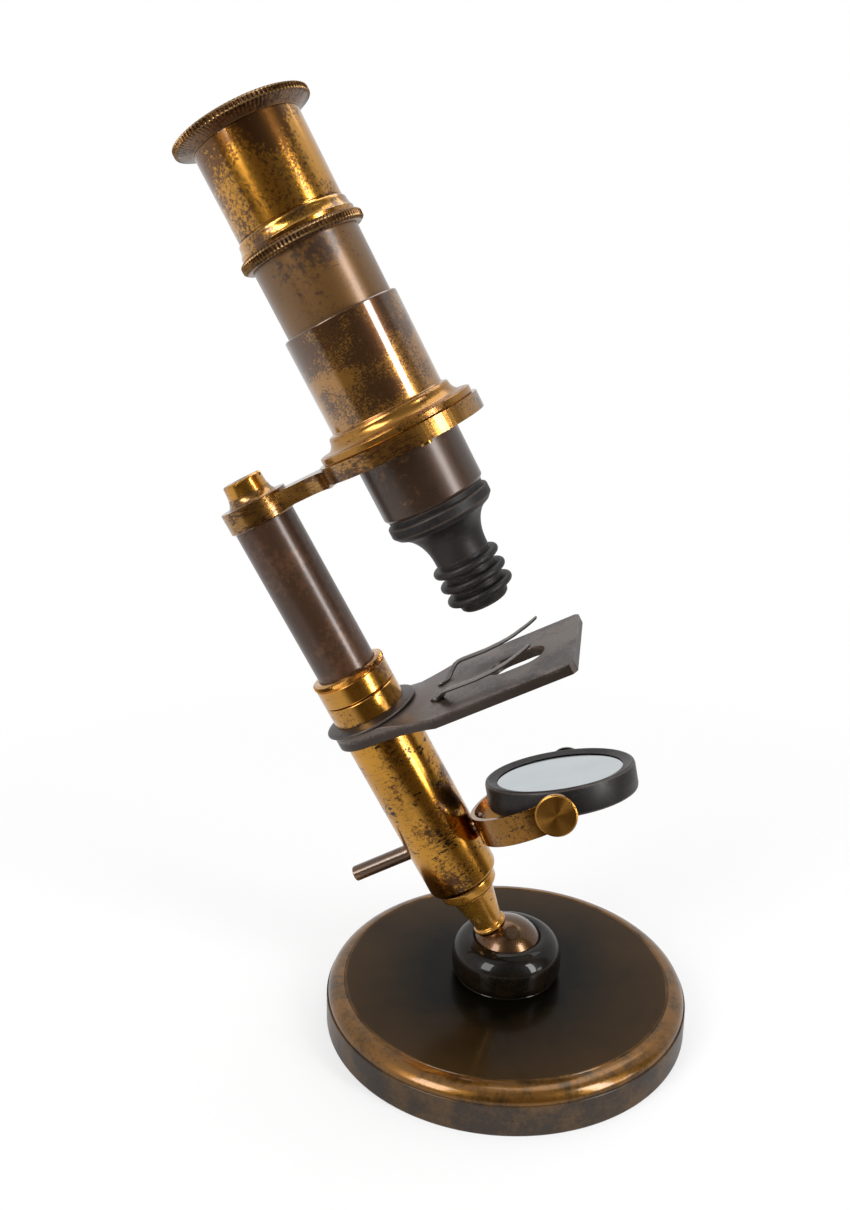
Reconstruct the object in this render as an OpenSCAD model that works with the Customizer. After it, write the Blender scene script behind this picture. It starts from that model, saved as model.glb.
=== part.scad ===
// A small brass compound microscope on a round foot, in millimetres with +Z up.
// The origin is the centre of the foot on the table. The limb leans towards -X on its ball joint.
// Heights on the limb are measured from the centre of the ball, along the limb.

/* [Pose] */
// Lean of the limb from upright, in degrees
lean = 28.1; // [0:0.1:33]
// Turn of the limb about its own axis, in degrees
spin = -15.2; // [-90:0.1:90]
// Turn of the mirror's rod about the limb, in degrees
rod_yaw = 5.2; // [-20:0.1:20]
// Twist of the mirror's fork about its rod, in degrees
fork_twist = -12.6; // [-40:0.1:40]
// Tilt of the mirror in its fork, in degrees
mirror_tilt = 15.5; // [-60:0.1:60]

/* [Foot] */
// Radius of the foot
foot_r = 52.5; // [46:0.5:70]
// Height of the upright side of the foot
foot_side_h = 8.4; // [7:0.1:16]
// Height of the moulding above the side
foot_mould_h = 3.5; // [2:0.1:5]
// Width of the moulding
foot_mould_w = 4.9; // [3:0.1:9]
// Width of the turned line inside the moulding
foot_line_w = 0.6; // [0.3:0.1:1.5]
// Depth of the turned line
foot_line_d = 0.35; // [0.1:0.05:0.8]
// Thickness of the foot's wall at the rim
foot_wall = 6.5; // [5:0.5:12]
// Thickness of the foot's top
foot_top_t = 5; // [4:0.1:7]
// Thickness of the weight under the foot
weight_t = 4; // [2:0.1:4.8]
// Radius of the circle of weight screws
weight_screw_circle_r = 31; // [24:0.5:38]
// Number of weight screws
weight_screws_n = 3; // [3:1:6]

/* [Ball joint] */
// Radius of the ball
ball_r = 11.3; // [9:0.1:14]
// Height of the ball's centre above the foot's top
ball_rise = 5.6; // [4:0.1:8]
// Clearance between the ball and its seats
ball_fit = 0.05; // [0.02:0.01:0.1]
// Angle from the ball's top to the edge of its opening
lip_angle = 59; // [50:1:70]
// Wall of the socket outside the cup
socket_wall = 3.55; // [2.5:0.05:6]
// Height of the socket's upright side
socket_side_h = 6.1; // [4:0.1:8]
// Height of the socket
socket_h = 12; // [11:0.1:15]
// Depth of the socket's spigot in the foot
spigot_h = 3.6; // [2:0.1:4.5]
// Wall of the cup outside the ball
cup_wall = 1.1; // [0.8:0.1:2]
// Thickness of the cup under the ball
cup_floor = 1.9; // [1:0.1:2.5]
// Thickness of the plate that closes the joint from below
plate_t = 2; // [1:0.1:2.5]
// Thickness of the disc spring's sheet
spring_t = 0.5; // [0.3:0.1:0.8]

/* [Neck and sleeve] */
// Radius of the neck at the ball
neck_foot_r = 4.2; // [3.6:0.1:6]
// Radius of the neck below its ring
neck_top_r = 6.6; // [5:0.1:8]
// Radius of the stem inside the ball
stem_r = 3; // [2:0.1:3.4]
// Height of the neck's bead
neck_bead_w = 23.3; // [20:0.1:25]
// Radius of the neck's ring
neck_ring_r = 8.65; // [8:0.05:10]
// Thickness of the neck's ring
neck_ring_t = 3.5; // [2:0.1:5]
// Height of the sleeve's lower end
sleeve_w = 27.8; // [26:0.1:34]
// Length of the sleeve below the stage
sleeve_len = 52.5; // [45:0.1:70]
// Radius of the sleeve
sleeve_r = 10.45; // [10:0.05:12]
// Rounding of the sleeve's lower edge
sleeve_round = 2; // [0.5:0.1:2.5]
// Length of the neck's plug inside the sleeve
plug_len = 22.5; // [18:0.1:24]

/* [Stage] */
// Distance from the pillar's axis to the optical axis
optic_u = 43.65; // [38:0.05:50]
// Thickness of the stage
stage_t = 2.9; // [2:0.1:5]
// Width of the stage
stage_width = 35; // [30:0.5:50]
// Distance from the pillar's axis to the back edge of the stage
stage_back_u = 21; // [19:0.1:24]
// Length of the stage in front of its back edge
stage_len = 40; // [36:0.5:50]
// Cut at the stage's front corners
corner_cut = 1.2; // [0.5:0.1:4]
// Radius of the aperture's round ends
aperture_r = 5.1; // [4.5:0.1:6]
// Length of the aperture along the stage
aperture_len = 16.3; // [12:0.1:18]
// Radius of the stage's round tail
tail_r = 12.1; // [11.5:0.1:14]
// Extra thickness of the tail at the pillar
tail_rise = 1.3; // [0.5:0.1:2]
// Thickness of the washer on the tail
washer_t = 1.8; // [1:0.1:3]
// Radius of the washer
washer_r = 13.4; // [12:0.1:15]
// Wall of the sleeve's journal inside the washer and collar
journal_wall = 1; // [0.8:0.05:1.4]

/* [Spring clips] */
// Width of a clip's strip
clip_width = 2.6; // [1.5:0.1:4]
// Thickness of a clip's strip
clip_t = 0.5; // [0.3:0.05:1]
// Distance from the pillar's axis to a clip's pivot
clip_pivot_u = 20.4; // [19:0.1:24]
// Distance from the middle of the stage to a clip's pivot
clip_pivot_v = 5; // [4:0.1:8]
// Distance from the middle of the stage to a clip's strip
clip_strip_v = 9.6; // [8:0.1:14]
// Length of a clip from its pivot to its tip
clip_len = 31; // [24:0.5:36]
// Height of a clip's strip above the stage
clip_rise = 2.6; // [1:0.1:4]
// Height of a clip's tip above its strip
clip_tip_rise = 3; // [1:0.1:5]

/* [Fine focus] */
// Height of the fixed collar
collar_h = 5.8; // [4:0.1:10]
// Radius of the collar and the milled ring
collar_r = 10.3; // [10:0.05:12]
// Height of the milled ring
focus_ring_h = 7.3; // [5:0.1:12]
// Height of the milled ring's knurled edge
focus_knurl_h = 1.3; // [0.8:0.1:3]
// Number of ribs on the milled ring
focus_ribs = 84; // [40:2:120]
// Gap between the collar and the milled ring
ring_gap = 0.2; // [0.1:0.05:0.5]

/* [Pillar and arm] */
// Radius of the sliding pillar
pillar_r = 8.3; // [7:0.05:9]
// Wall of the pillar
pillar_wall = 1.4; // [1:0.1:2]
// Length of pillar that shows above the milled ring
pillar_show = 45.6; // [35:0.1:60]
// Radius of the arm's boss
boss_r = 9.1; // [8.8:0.1:12]
// Height of the boss below its cone
boss_h = 5; // [4:0.1:8]
// Height of the boss's hollow cone
boss_cone_h = 3.3; // [2:0.1:5]
// Radius of the nut
nut_r = 5.4; // [4:0.1:7]
// Height of the nut
nut_h = 3.8; // [2:0.1:6]
// Thickness of the arm
arm_t = 4.3; // [3:0.1:7]
// Width of the arm's bar
arm_width = 9; // [6:0.5:14]
// Radius of the fillets between the bar and the ring
arm_fillet = 9; // [2:0.5:12]
// How far the bar lies below the ring's underside
arm_drop = 1; // [0:0.1:1.5]
// How far the bar's upper face lies below the ring's
arm_step = 0.8; // [0.2:0.1:1.5]
// Radius of the arm's ring
arm_ring_r = 21.75; // [19:0.05:26]

/* [Body sleeve] */
// Radius of the sleeve that holds the body tube
holder_r = 15; // [14.6:0.05:17]
// Length of the sleeve above the arm's ring
holder_len = 30.2; // [20:0.1:40]
// Radius of the sleeve's flange
flange_r = 20.6; // [18:0.1:24]
// Thickness of the sleeve's flange
flange_t = 2; // [1:0.1:4]
// Radius at the top of the flange's hollow moulding
cove_r = 16.5; // [15.5:0.1:18]
// Height of the hollow moulding
cove_h = 3.4; // [2:0.1:5]

/* [Body tube] */
// Radius of the body tube
tube_r = 13.75; // [12:0.05:14.5]
// Wall of the body tube
tube_wall = 1.15; // [0.8:0.05:2]
// Height of the body tube's lower end
tube_w = 131.3; // [128:0.1:138]
// Length of the body tube
tube_len = 74; // [60:0.1:90]
// Radius of the hole in the tube's inner stop
stop_bore_r = 6.5; // [4:0.1:9]
// Thickness of the inner stop
stop_t = 1; // [0.5:0.1:3]
// Height of the inner stop above the tube's lower end
stop_up = 30; // [20:1:34]
// Radius of the knurled grip ring
grip_r = 15.9; // [15:0.1:18]
// Height of the grip ring
grip_h = 3; // [2:0.1:6]
// Number of ribs on the grip ring
grip_ribs = 96; // [40:2:140]
// Height of the polished band above the grip ring
band_h = 3.7; // [2:0.1:6]

/* [Objective] */
// Radius of the objective's rim
rim_r = 13.95; // [12:0.05:15]
// Height of the objective's rim
rim_h = 4; // [3:0.1:6]
// Depth of the objective's spigot in the body tube
spigot_len = 5; // [3:0.5:8]
// Radius at the top of the objective's hollow cone
cone_top_r = 12.4; // [10:0.1:13]
// Length of the hollow cone
cone_len = 9.7; // [7:0.1:14]
// Radius of the objective's neck
neck_r = 7.3; // [6.9:0.1:8.5]
// Radius of each lens mount's ring
button_r = 9.15; // [8.5:0.05:11]
// Thickness of each lens mount's ring
button_ring_t = 2.2; // [1.5:0.1:3]
// Height of each lens mount
button_h = 4.1; // [3.6:0.1:5]
// Length of the nose on the last lens mount
nose_len = 1.7; // [1:0.1:4]
// Radius of the objective's lenses
objective_lens_r = 4.2; // [3:0.1:5]

/* [Eyepiece] */
// Radius of the eyepiece's drum
drum_r = 13.5; // [12:0.05:15]
// Height of the eyepiece's drum
drum_h = 20.9; // [14:0.1:30]
// Wall of the eyepiece's drum
drum_wall = 1.2; // [0.8:0.1:2]
// Length of the eyepiece's tube inside the body tube
eye_tube_len = 27; // [18:0.5:40]
// Wall of the eyepiece's tube
eye_tube_wall = 0.9; // [0.6:0.05:1.5]
// Radius of the eye cap's knurled rim
cap_r = 17.4; // [15:0.1:20]
// Height of the knurled rim
cap_rim_h = 2; // [1:0.1:4]
// Height of the cap below its rim
cap_cone_h = 1.4; // [0.8:0.1:3]
// Number of ribs on the eye cap
cap_ribs = 100; // [50:2:140]
// Radius of the eye hole
eye_hole_r = 3.2; // [2:0.1:5]
// Radius of the eye lens
eye_lens_r = 6; // [4.5:0.1:8]
// Radius of the field lens
field_lens_r = 9.8; // [7:0.1:10.5]

/* [Mirror] */
// Height of the mirror's rod
rod_w = 42; // [40:0.1:46]
// Radius of the mirror's rod
rod_r = 2.2; // [1.5:0.05:3]
// Length of rod behind the pillar's axis
rod_back = 28.3; // [22:0.1:36]
// Distance from the pillar's axis to the mirror's pivots
mirror_u = 37.8; // [36:0.1:46]
// Radius of the mirror's cell
cell_r = 21.1; // [16:0.1:21.3]
// Thickness of the mirror's cell
cell_t = 7.8; // [7:0.1:12]
// Height of the mirror cell's middle above its pivots
mirror_rise = 1.8; // [0:0.1:2]
// Width of the cell's sloping lip
lip_w = 3; // [2:0.1:4]
// Depth of the glass below the lip's edge
glass_depth = 1.2; // [0.6:0.1:2]
// Thickness of each mirror glass
glass_t = 2.6; // [2:0.1:3]
// Radius of the hollow glass's curve
dish_r = 90; // [80:1:200]
// Distance from the mirror's middle to the inner face of a fork arm
fork_v = 21.8; // [21.7:0.1:26]
// Width of the fork's strip
fork_width = 7.8; // [5:0.1:12]
// Thickness of the fork's strip
fork_t = 1.3; // [0.8:0.05:2]
// Radius of a pivot screw's head
pivot_head_r = 5.5; // [3:0.1:6]
// Height of a pivot screw's head
pivot_head_h = 1.4; // [1:0.1:3]
// Gap between the fork and the sleeve
fork_gap = 0.75; // [0.6:0.05:6]
// Radius of a pivot screw's shank
pivot_r = 1; // [0.8:0.05:1.1]

/* [Fits] */
// Clearance of a piece that slides or turns in another
running_fit = 0.05; // [0.02:0.01:0.1]
// Clearance of a piece that is fixed in another
seat_fit = 0.02; // [0.01:0.01:0.05]

/* [Hidden] */
$fn = 96;
eps = 0.01;
foot_h = foot_side_h + foot_mould_h;
foot_line_r = foot_r - foot_mould_w - foot_line_w;
recess_r = foot_r - foot_wall;
recess_h = foot_h - foot_top_t;
ball_z = foot_h + ball_rise;
seat_r = ball_r + ball_fit;
cup_r = ball_r + cup_wall;
cup_bore_r = cup_r + running_fit;
socket_r = cup_bore_r + socket_wall;
spigot_r = cup_bore_r + 0.5 * socket_wall;
plate_r = cup_r + 0.5;
hub_r = spigot_r + 2.5;
cup_bottom = ball_z - ball_r - cup_floor;
cup_top = ball_z - 0.35 * ball_r;
plate_bottom = cup_bottom - 1.4 - plate_t;
spot_w = sqrt(ball_r * ball_r - neck_foot_r * neck_foot_r);
stage_w = sleeve_w + sleeve_len;
stage_top_w = stage_w + stage_t;
tail_top_w = stage_top_w + tail_rise;
collar_w = tail_top_w + washer_t;
ring_w = collar_w + collar_h + ring_gap;
ring_top_w = ring_w + focus_ring_h;
sleeve_bore_r = pillar_r + running_fit;
journal_r = sleeve_bore_r + journal_wall;
journal_top_w = ring_top_w - 1.6;
plug_top_w = sleeve_w + plug_len;
travel = 1.5;
pillar_bottom_w = plug_top_w + travel + 1;
boss_w = ring_top_w + pillar_show;
arm_w = boss_w + 1.7;
arm_top_w = arm_w + arm_t;
nut_w = boss_w + boss_h + boss_cone_h;
stud_r = 0.45 * nut_r;
holder_bore_r = tube_r + running_fit;
holder_top_w = arm_top_w + holder_len;
tube_bore_r = tube_r - tube_wall;
tube_top_w = tube_w + tube_len;
grip_w = tube_top_w - band_h - grip_h;
drum_w = tube_top_w + 0.6;
drum_top_w = drum_w + drum_h;
cap_top_w = drum_top_w + cap_cone_h + cap_rim_h;
eye_tube_r = tube_bore_r - running_fit;
adapter_spigot_r = tube_bore_r - seat_fit;
rim_top_w = tube_w - 1.5;
cone_w = rim_top_w - rim_h;
neck_w = cone_w - cone_len;
button_bore_r = 0.62 * neck_r;
key_w = plug_top_w + 12;
glass_r = cell_r - lip_w;
bow_u = sleeve_r + fork_gap;
cell_hole_r = pivot_r + running_fit;

// Points of a circular arc from angle a0 to angle a1
function arc(cx, cy, r, a0, a1, n = 10) =
    [for (i = [0:n]) [cx + r * cos(a0 + (a1 - a0) * i / n), cy + r * sin(a0 + (a1 - a0) * i / n)]];

// Points of an elliptical arc from angle a0 to angle a1
function oval(cx, cy, rx, ry, a0, a1, n = 12) =
    [for (i = [0:n]) [cx + rx * cos(a0 + (a1 - a0) * i / n), cy + ry * sin(a0 + (a1 - a0) * i / n)]];

// A piece turned about Z from its outline in radius and height
module turned(points) {
    rotate_extrude() polygon(points);
}

// A plain tube standing on height w
module tube(r_out, r_in, w, h) {
    translate([0, 0, w]) difference() {
        cylinder(r = r_out, h = h);
        translate([0, 0, -1]) cylinder(r = r_in, h = h + 2);
    }
}

// A toothed disc for knurling: n ribs of the given depth
module ribbed(r, depth, n, h) {
    step = 180 / n;
    linear_extrude(h) polygon([for (i = [0:2 * n - 1])
        let (rr = (i % 2 == 0) ? r : r - depth) [rr * cos(i * step), rr * sin(i * step)]]);
}

// The frame of the limb, with the ball's centre as its origin
module on_limb() {
    translate([0, 0, ball_z]) rotate([0, -lean, 0]) rotate([0, 0, spin]) children();
}

// The frame of the body tube, about the optical axis
module on_optic() {
    on_limb() translate([optic_u, 0, 0]) children();
}

// The frame of the mirror's rod, along +X from the pillar's axis
module on_rod() {
    on_limb() rotate([0, 0, rod_yaw]) translate([0, 0, rod_w]) children();
}

// The frame of the fork, with the pivots' middle as its origin
module on_fork() {
    on_rod() rotate([fork_twist, 0, 0]) translate([mirror_u, 0, 0]) children();
}

// The frame of the mirror, with +Z out of its upper glass
module on_mirror() {
    on_fork() rotate([0, mirror_tilt, 0]) children();
}

// A slotted cheese-head screw pointing down, its head standing on height 0
module screw(head_r, head_h, shank_r, shank_len, slot) {
    difference() {
        union() {
            cylinder(r = head_r, h = head_h);
            translate([0, 0, -shank_len]) cylinder(r = shank_r, h = shank_len + eps);
        }
        translate([-head_r - 1, -slot / 2, head_h * 0.55]) cube([2 * head_r + 2, slot, head_h]);
    }
}

// Round foot, hollow below, with a moulded edge and a turned line on its top
module foot() {
    edge = 0.5;
    moulding = concat(
        [[foot_r - edge, 0], [foot_r, edge], [foot_r, foot_side_h - 0.2], [foot_r - 0.35, foot_side_h]],
        oval(foot_r - foot_mould_w, foot_side_h, foot_mould_w - 0.35, foot_mould_h, 0, 90, 10));
    line = [[foot_line_r + foot_line_w, foot_h], [foot_line_r + foot_line_w / 2, foot_h - foot_line_d],
        [foot_line_r, foot_h]];
    color("#5a4a38") difference() {
        turned(concat([[0, 0]], moulding, line, [[0, foot_h]]));
        difference() {
            translate([0, 0, -1]) cylinder(r = recess_r, h = recess_h + 1);
            translate([0, 0, plate_bottom]) cylinder(r = hub_r, h = foot_h);
        }
        translate([0, 0, -1]) cylinder(r = plate_r + seat_fit, h = foot_h + 2);
        translate([0, 0, foot_h - spigot_h - seat_fit]) cylinder(r = spigot_r + seat_fit, h = foot_h);
        at_weight_screws() translate([0, 0, -weight_t]) cylinder(r = 1.5 + seat_fit, h = weight_t + 3.6);
    }
}

// Places of the weight's screws, at the underside of the foot's top
module at_weight_screws() {
    for (i = [0:weight_screws_n - 1])
        rotate([0, 0, 30 + i * 360 / weight_screws_n])
            translate([weight_screw_circle_r, 0, recess_h]) children();
}

// Ring-shaped lead weight inside the foot
module foot_weight() {
    color("#6e7074") difference() {
        translate([0, 0, recess_h - weight_t])
            tube(recess_r - 1, hub_r + 1, 0, weight_t);
        at_weight_screws() translate([0, 0, -weight_t - 1]) cylinder(r = 1.5 + seat_fit, h = weight_t + 2);
        at_weight_screws() translate([0, 0, -weight_t - 1]) cylinder(r = 3.4, h = 2.6);
    }
}

// Screws that hold the weight
module weight_screws() {
    color("#8a8c90") at_weight_screws()
        translate([0, 0, -weight_t + 1.6]) rotate([180, 0, 0]) screw(3, 1.5, 1.5, weight_t + 1.8, 0.7);
}

// Turned socket that holds the ball down on its cup
module socket() {
    r_lip = seat_r * sin(lip_angle);
    z_lip = ball_z + seat_r * cos(lip_angle);
    z_side = foot_h + socket_side_h;
    outline = concat(
        [[0, foot_h - spigot_h], [spigot_r, foot_h - spigot_h], [spigot_r, foot_h], [socket_r - 1.4, foot_h]],
        oval(socket_r - 2.2, foot_h + 3.4, 2.2, 3.4, -62, 0, 8),
        oval(r_lip + 1.2, z_side, socket_r - r_lip - 1.2, socket_h - socket_side_h, 0, 90, 14),
        [[r_lip + 0.5, z_lip + 0.5], [r_lip - 0.5, z_lip], [0, z_lip]]);
    color("#2c241c") difference() {
        turned(outline);
        translate([0, 0, ball_z]) sphere(r = seat_r);
        translate([0, 0, cup_top - 1]) cylinder(r = seat_r, h = ball_z - cup_top + 1);
        translate([0, 0, -1]) cylinder(r = cup_bore_r, h = cup_top + 0.3 + 1);
    }
}

// Threaded plate with two key holes that sets the joint's grip
module joint_plate() {
    color("#8c6a34") difference() {
        translate([0, 0, plate_bottom]) cylinder(r = plate_r, h = plate_t);
        for (s = [-1, 1])
            translate([s * 0.65 * plate_r, 0, plate_bottom - 1]) cylinder(r = 1.2, h = plate_t + 2);
    }
}

// Dished spring between the plate and the cup
module disc_spring() {
    z0 = plate_bottom + plate_t;
    z1 = cup_bottom;
    r_out = 0.9 * cup_r;
    r_in = 0.5 * cup_r;
    color("#55585c") turned([[r_out, z0], [r_out, z0 + spring_t], [r_in, z1], [r_in, z1 - spring_t]]);
}

// Cup that carries the ball from below
module ball_cup() {
    color("#a07c3c") difference() {
        translate([0, 0, cup_bottom]) cylinder(r = cup_r, h = cup_top - cup_bottom);
        translate([0, 0, ball_z]) sphere(r = seat_r);
        translate([0, 0, cup_bottom - 1]) cylinder(r = 2.5, h = cup_floor + 2);
    }
}

// Polished ball, bored for the neck's stem
module ball() {
    color("#a8703c") on_limb() difference() {
        sphere(r = ball_r);
        translate([0, 0, spot_w]) cylinder(r = ball_r, h = ball_r);
        translate([0, 0, -2]) cylinder(r = stem_r + running_fit, h = ball_r + 3);
    }
}

// Tapered neck with its bead and ring, and the plug that closes the sleeve
module neck() {
    w0 = spot_w + running_fit;
    ring_w0 = sleeve_w - neck_ring_t;
    plug_r = sleeve_bore_r - seat_fit;
    outline = concat(
        [[0, -1.9], [stem_r, -1.9], [stem_r, w0], [neck_foot_r - 0.3, w0], [neck_foot_r + 0.7, w0 + 0.4]],
        [[neck_foot_r + 0.7, w0 + 1.1], [neck_foot_r, w0 + 1.5]],
        [[neck_top_r, neck_bead_w], [neck_top_r + 0.25, neck_bead_w + 0.3], [neck_top_r + 0.25, ring_w0 - 0.1]],
        arc(neck_ring_r - 1, ring_w0 + 0.9, 1, -90, 0, 5),
        [[neck_ring_r, sleeve_w - 0.5], [neck_ring_r - 0.3, sleeve_w], [plug_r, sleeve_w]],
        [[plug_r, plug_top_w - 0.5], [plug_r - 0.5, plug_top_w], [0, plug_top_w]]);
    color("#b48a3a") on_limb() difference() {
        turned(outline);
        rotate([0, 0, rod_yaw]) translate([-20, 0, rod_w]) rotate([0, 90, 0]) cylinder(r = rod_r + running_fit, h = 40);
    }
}

// Brass sleeve of the pillar, with the journal that carries the stage and the collars
module lower_sleeve() {
    groove_w = ring_w + 2.4;
    outline = concat(
        arc(sleeve_r - sleeve_round, sleeve_w + sleeve_round, sleeve_round, -90, 0, 6),
        [[sleeve_r, stage_w], [journal_r, stage_w], [journal_r, groove_w], [journal_r - 0.35, groove_w]],
        [[journal_r - 0.35, groove_w + 1.2], [journal_r, groove_w + 1.2], [journal_r, journal_top_w]],
        [[sleeve_bore_r, journal_top_w], [sleeve_bore_r, sleeve_w]]);
    color("#b8903e") on_limb() difference() {
        turned(outline);
        rotate([0, 0, rod_yaw]) translate([-20, 0, rod_w]) rotate([0, 90, 0]) cylinder(r = rod_r + running_fit, h = 40);
        translate([0, 0, key_w]) rotate([-90, 0, 0]) cylinder(r = 1.2 + seat_fit, h = sleeve_r + 1);
    }
}

// Screw whose nose keeps the pillar from turning
module key_screw() {
    color("#5c4a30") on_limb() translate([0, 0, key_w]) rotate([-90, 0, 0]) difference() {
        union() {
            translate([0, 0, pillar_r - pillar_wall + 0.2])
                cylinder(r = 1, h = sleeve_bore_r - pillar_r + pillar_wall + eps);
            translate([0, 0, sleeve_bore_r]) cylinder(r = 1.2, h = sleeve_r - sleeve_bore_r - 0.2);
        }
        translate([-2, -0.25, sleeve_r - 0.8]) cube([4, 0.5, 2]);
    }
}

// Outline of the stage seen from above: a straight plate that narrows to a round tail
module stage_outline() {
    hw = stage_width / 2;
    front = stage_back_u + stage_len;
    flare = hw - tail_r;
    flare_r = (stage_back_u * stage_back_u + flare * flare) / (2 * flare);
    side = concat([[front, hw - corner_cut], [front - corner_cut, hw]],
        arc(0, tail_r + flare_r, flare_r, asin(stage_back_u / flare_r) - 90, -90, 10));
    polygon(concat(side, arc(0, 0, tail_r, 97.5, 262.5, 22),
        [for (i = [len(side) - 1:-1:0]) [side[i][0], -side[i][1]]]));
}

// Stage plate with its aperture, thickened at the tail
module stage() {
    color("#6f6660") on_limb() difference() {
        union() {
            translate([0, 0, stage_w]) linear_extrude(stage_t) stage_outline();
            intersection() {
                translate([0, 0, stage_w]) linear_extrude(stage_t + tail_rise) stage_outline();
                turned(concat([[0, stage_w + 1], [tail_r + 6, stage_w + 1], [tail_r + 6, stage_top_w]],
                    [[tail_r + 4, stage_top_w + 0.35 * tail_rise], [tail_r + 1, tail_top_w], [0, tail_top_w]]));
            }
        }
        translate([0, 0, stage_w - 1]) cylinder(r = journal_r + seat_fit, h = stage_t + tail_rise + 2);
        translate([optic_u, 0, stage_w - 1]) linear_extrude(stage_t + 2) hull() for (s = [-1, 1])
            translate([s * (aperture_len / 2 - aperture_r), 0]) circle(r = aperture_r);
        at_clip(1) translate([0, 0, -stage_t - tail_rise]) cylinder(r = 0.9 + running_fit, h = 10);
        at_clip(-1) translate([0, 0, -stage_t - tail_rise]) cylinder(r = 0.9 + running_fit, h = 10);
    }
}

// Dark coned washer between the stage and the collar
module stage_washer() {
    color("#4a4038") on_limb() difference() {
        turned([[0, tail_top_w], [washer_r - 0.9, tail_top_w], [washer_r, tail_top_w + 0.35 * washer_t],
            [washer_r - 0.1, tail_top_w + 0.55 * washer_t], [collar_r + 0.4, collar_w], [0, collar_w]]);
        translate([0, 0, tail_top_w - 1]) cylinder(r = journal_r + seat_fit, h = washer_t + 2);
    }
}

// Fixed brass collar that clamps the stage
module collar() {
    color("#c0963e") on_limb() difference() {
        turned([[0, collar_w], [collar_r, collar_w], [collar_r, collar_w + collar_h - 0.3],
            [collar_r - 0.3, collar_w + collar_h], [0, collar_w + collar_h]]);
        translate([0, 0, collar_w - 1]) cylinder(r = journal_r + seat_fit, h = collar_h + 2);
    }
}

// Milled ring of the fine focus, knurled at its top edge
module focus_ring() {
    band_w = ring_top_w - 0.3 - focus_knurl_h;
    color("#c0963e") on_limb() difference() {
        union() {
            turned([[0, ring_w], [collar_r - 0.3, ring_w], [collar_r, ring_w + 0.3], [collar_r, band_w - 0.4],
                [collar_r - 0.4, band_w - 0.2], [collar_r - 0.4, ring_top_w - 0.3],
                [collar_r - 1, ring_top_w], [0, ring_top_w]]);
            translate([0, 0, band_w]) ribbed(collar_r + 0.15, 0.3, focus_ribs, focus_knurl_h);
        }
        translate([0, 0, ring_w - 1]) cylinder(r = sleeve_bore_r, h = focus_ring_h + 2);
        translate([0, 0, ring_w - 1]) cylinder(r = journal_r + running_fit, h = journal_top_w + 0.2 - ring_w + 1);
        at_ring_screws() translate([0, 0, journal_r]) cylinder(r = 0.5 + seat_fit, h = 4);
    }
}

// Places of the milled ring's set screws, pointing outwards
module at_ring_screws() {
    for (a = [90, 270])
        translate([0, 0, ring_w + 3]) rotate([0, 0, a]) rotate([0, 90, 0]) children();
}

// Headless screws whose noses run in the journal's groove
module ring_screws() {
    color("#4a4038") on_limb() at_ring_screws()
        translate([0, 0, journal_r - 0.25]) cylinder(r = 0.5, h = collar_r - journal_r + 0.2);
}

// Dark pillar that slides in the sleeve
module pillar() {
    color("#4e4038") on_limb() difference() {
        tube(pillar_r, pillar_r - pillar_wall, pillar_bottom_w, boss_w - pillar_bottom_w);
        translate([-1 - running_fit, 0, key_w - travel - 1.3]) cube([2 + 2 * running_fit, 20, 2 * travel + 2.6]);
    }
}

// Plug with the stud that holds the arm on the pillar
module pillar_plug() {
    plug_r = pillar_r - pillar_wall - seat_fit;
    color("#8c6a34") on_limb() {
        translate([0, 0, boss_w - 10]) cylinder(r = plug_r, h = 10);
        translate([0, 0, boss_w - eps]) cylinder(r = stud_r, h = nut_w + 0.7 * nut_h - boss_w + eps);
    }
}

// Outline of the arm's bar, whose sides curve into its ring
module bar_outline() {
    side = arm_width / 2 + arm_fillet;
    reach = arm_ring_r + arm_fillet;
    turn = asin(side / reach);
    centre_u = optic_u - reach * cos(turn);
    polygon(concat([[0, arm_width / 2], [0, -arm_width / 2]],
        oval(centre_u, -side, arm_fillet, arm_fillet, 90, turn, 6),
        oval(centre_u, side, arm_fillet, arm_fillet, -turn, -90, 6)));
}

// Arm with the boss on the pillar and the ring about the body tube
module arm() {
    color("#9c7434") on_limb() {
        difference() {
            union() {
                translate([0, 0, arm_w]) cylinder(r = boss_r, h = arm_t);
                translate([optic_u, 0, arm_w]) cylinder(r = arm_ring_r, h = arm_t);
                translate([0, 0, arm_w - arm_drop])
                    linear_extrude(arm_drop + arm_t - arm_step) bar_outline();
            }
            translate([optic_u, 0, arm_w - arm_drop - 1])
                cylinder(r = holder_r + seat_fit, h = arm_drop + arm_t + 2);
            translate([0, 0, boss_w - 1]) cylinder(r = stud_r + seat_fit, h = arm_top_w - boss_w + 2);
            translate([optic_u, 0, 0]) at_arm_screws()
                translate([0, 0, -arm_t - 1]) cylinder(r = 0.8 + seat_fit, h = arm_t + 2);
        }
        difference() {
            turned(concat([[0, boss_w], [boss_r - 0.3, boss_w], [boss_r, boss_w + 0.3], [boss_r, boss_w + boss_h - 0.3]],
                oval(boss_r + 0.6, nut_w, boss_r + 0.6 - nut_r - 0.3, boss_cone_h, -100, -180, 8), [[0, nut_w]]));
            translate([0, 0, boss_w - 1]) cylinder(r = stud_r + seat_fit, h = nut_w - boss_w + 2);
        }
    }
}

// Slotted round nut on the stud
module arm_nut() {
    color("#a87e34") on_limb() difference() {
        turned([[stud_r + seat_fit, nut_w], [nut_r + 0.15, nut_w], [nut_r, nut_w + 0.4 * nut_h],
            [nut_r - 0.1, nut_w + nut_h - 0.4], [nut_r - 0.5, nut_w + nut_h], [stud_r + seat_fit, nut_w + nut_h]]);
        translate([-nut_r - 1, -0.6, nut_w + nut_h - 1.2]) cube([2 * nut_r + 2, 1.2, 2]);
    }
}

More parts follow.
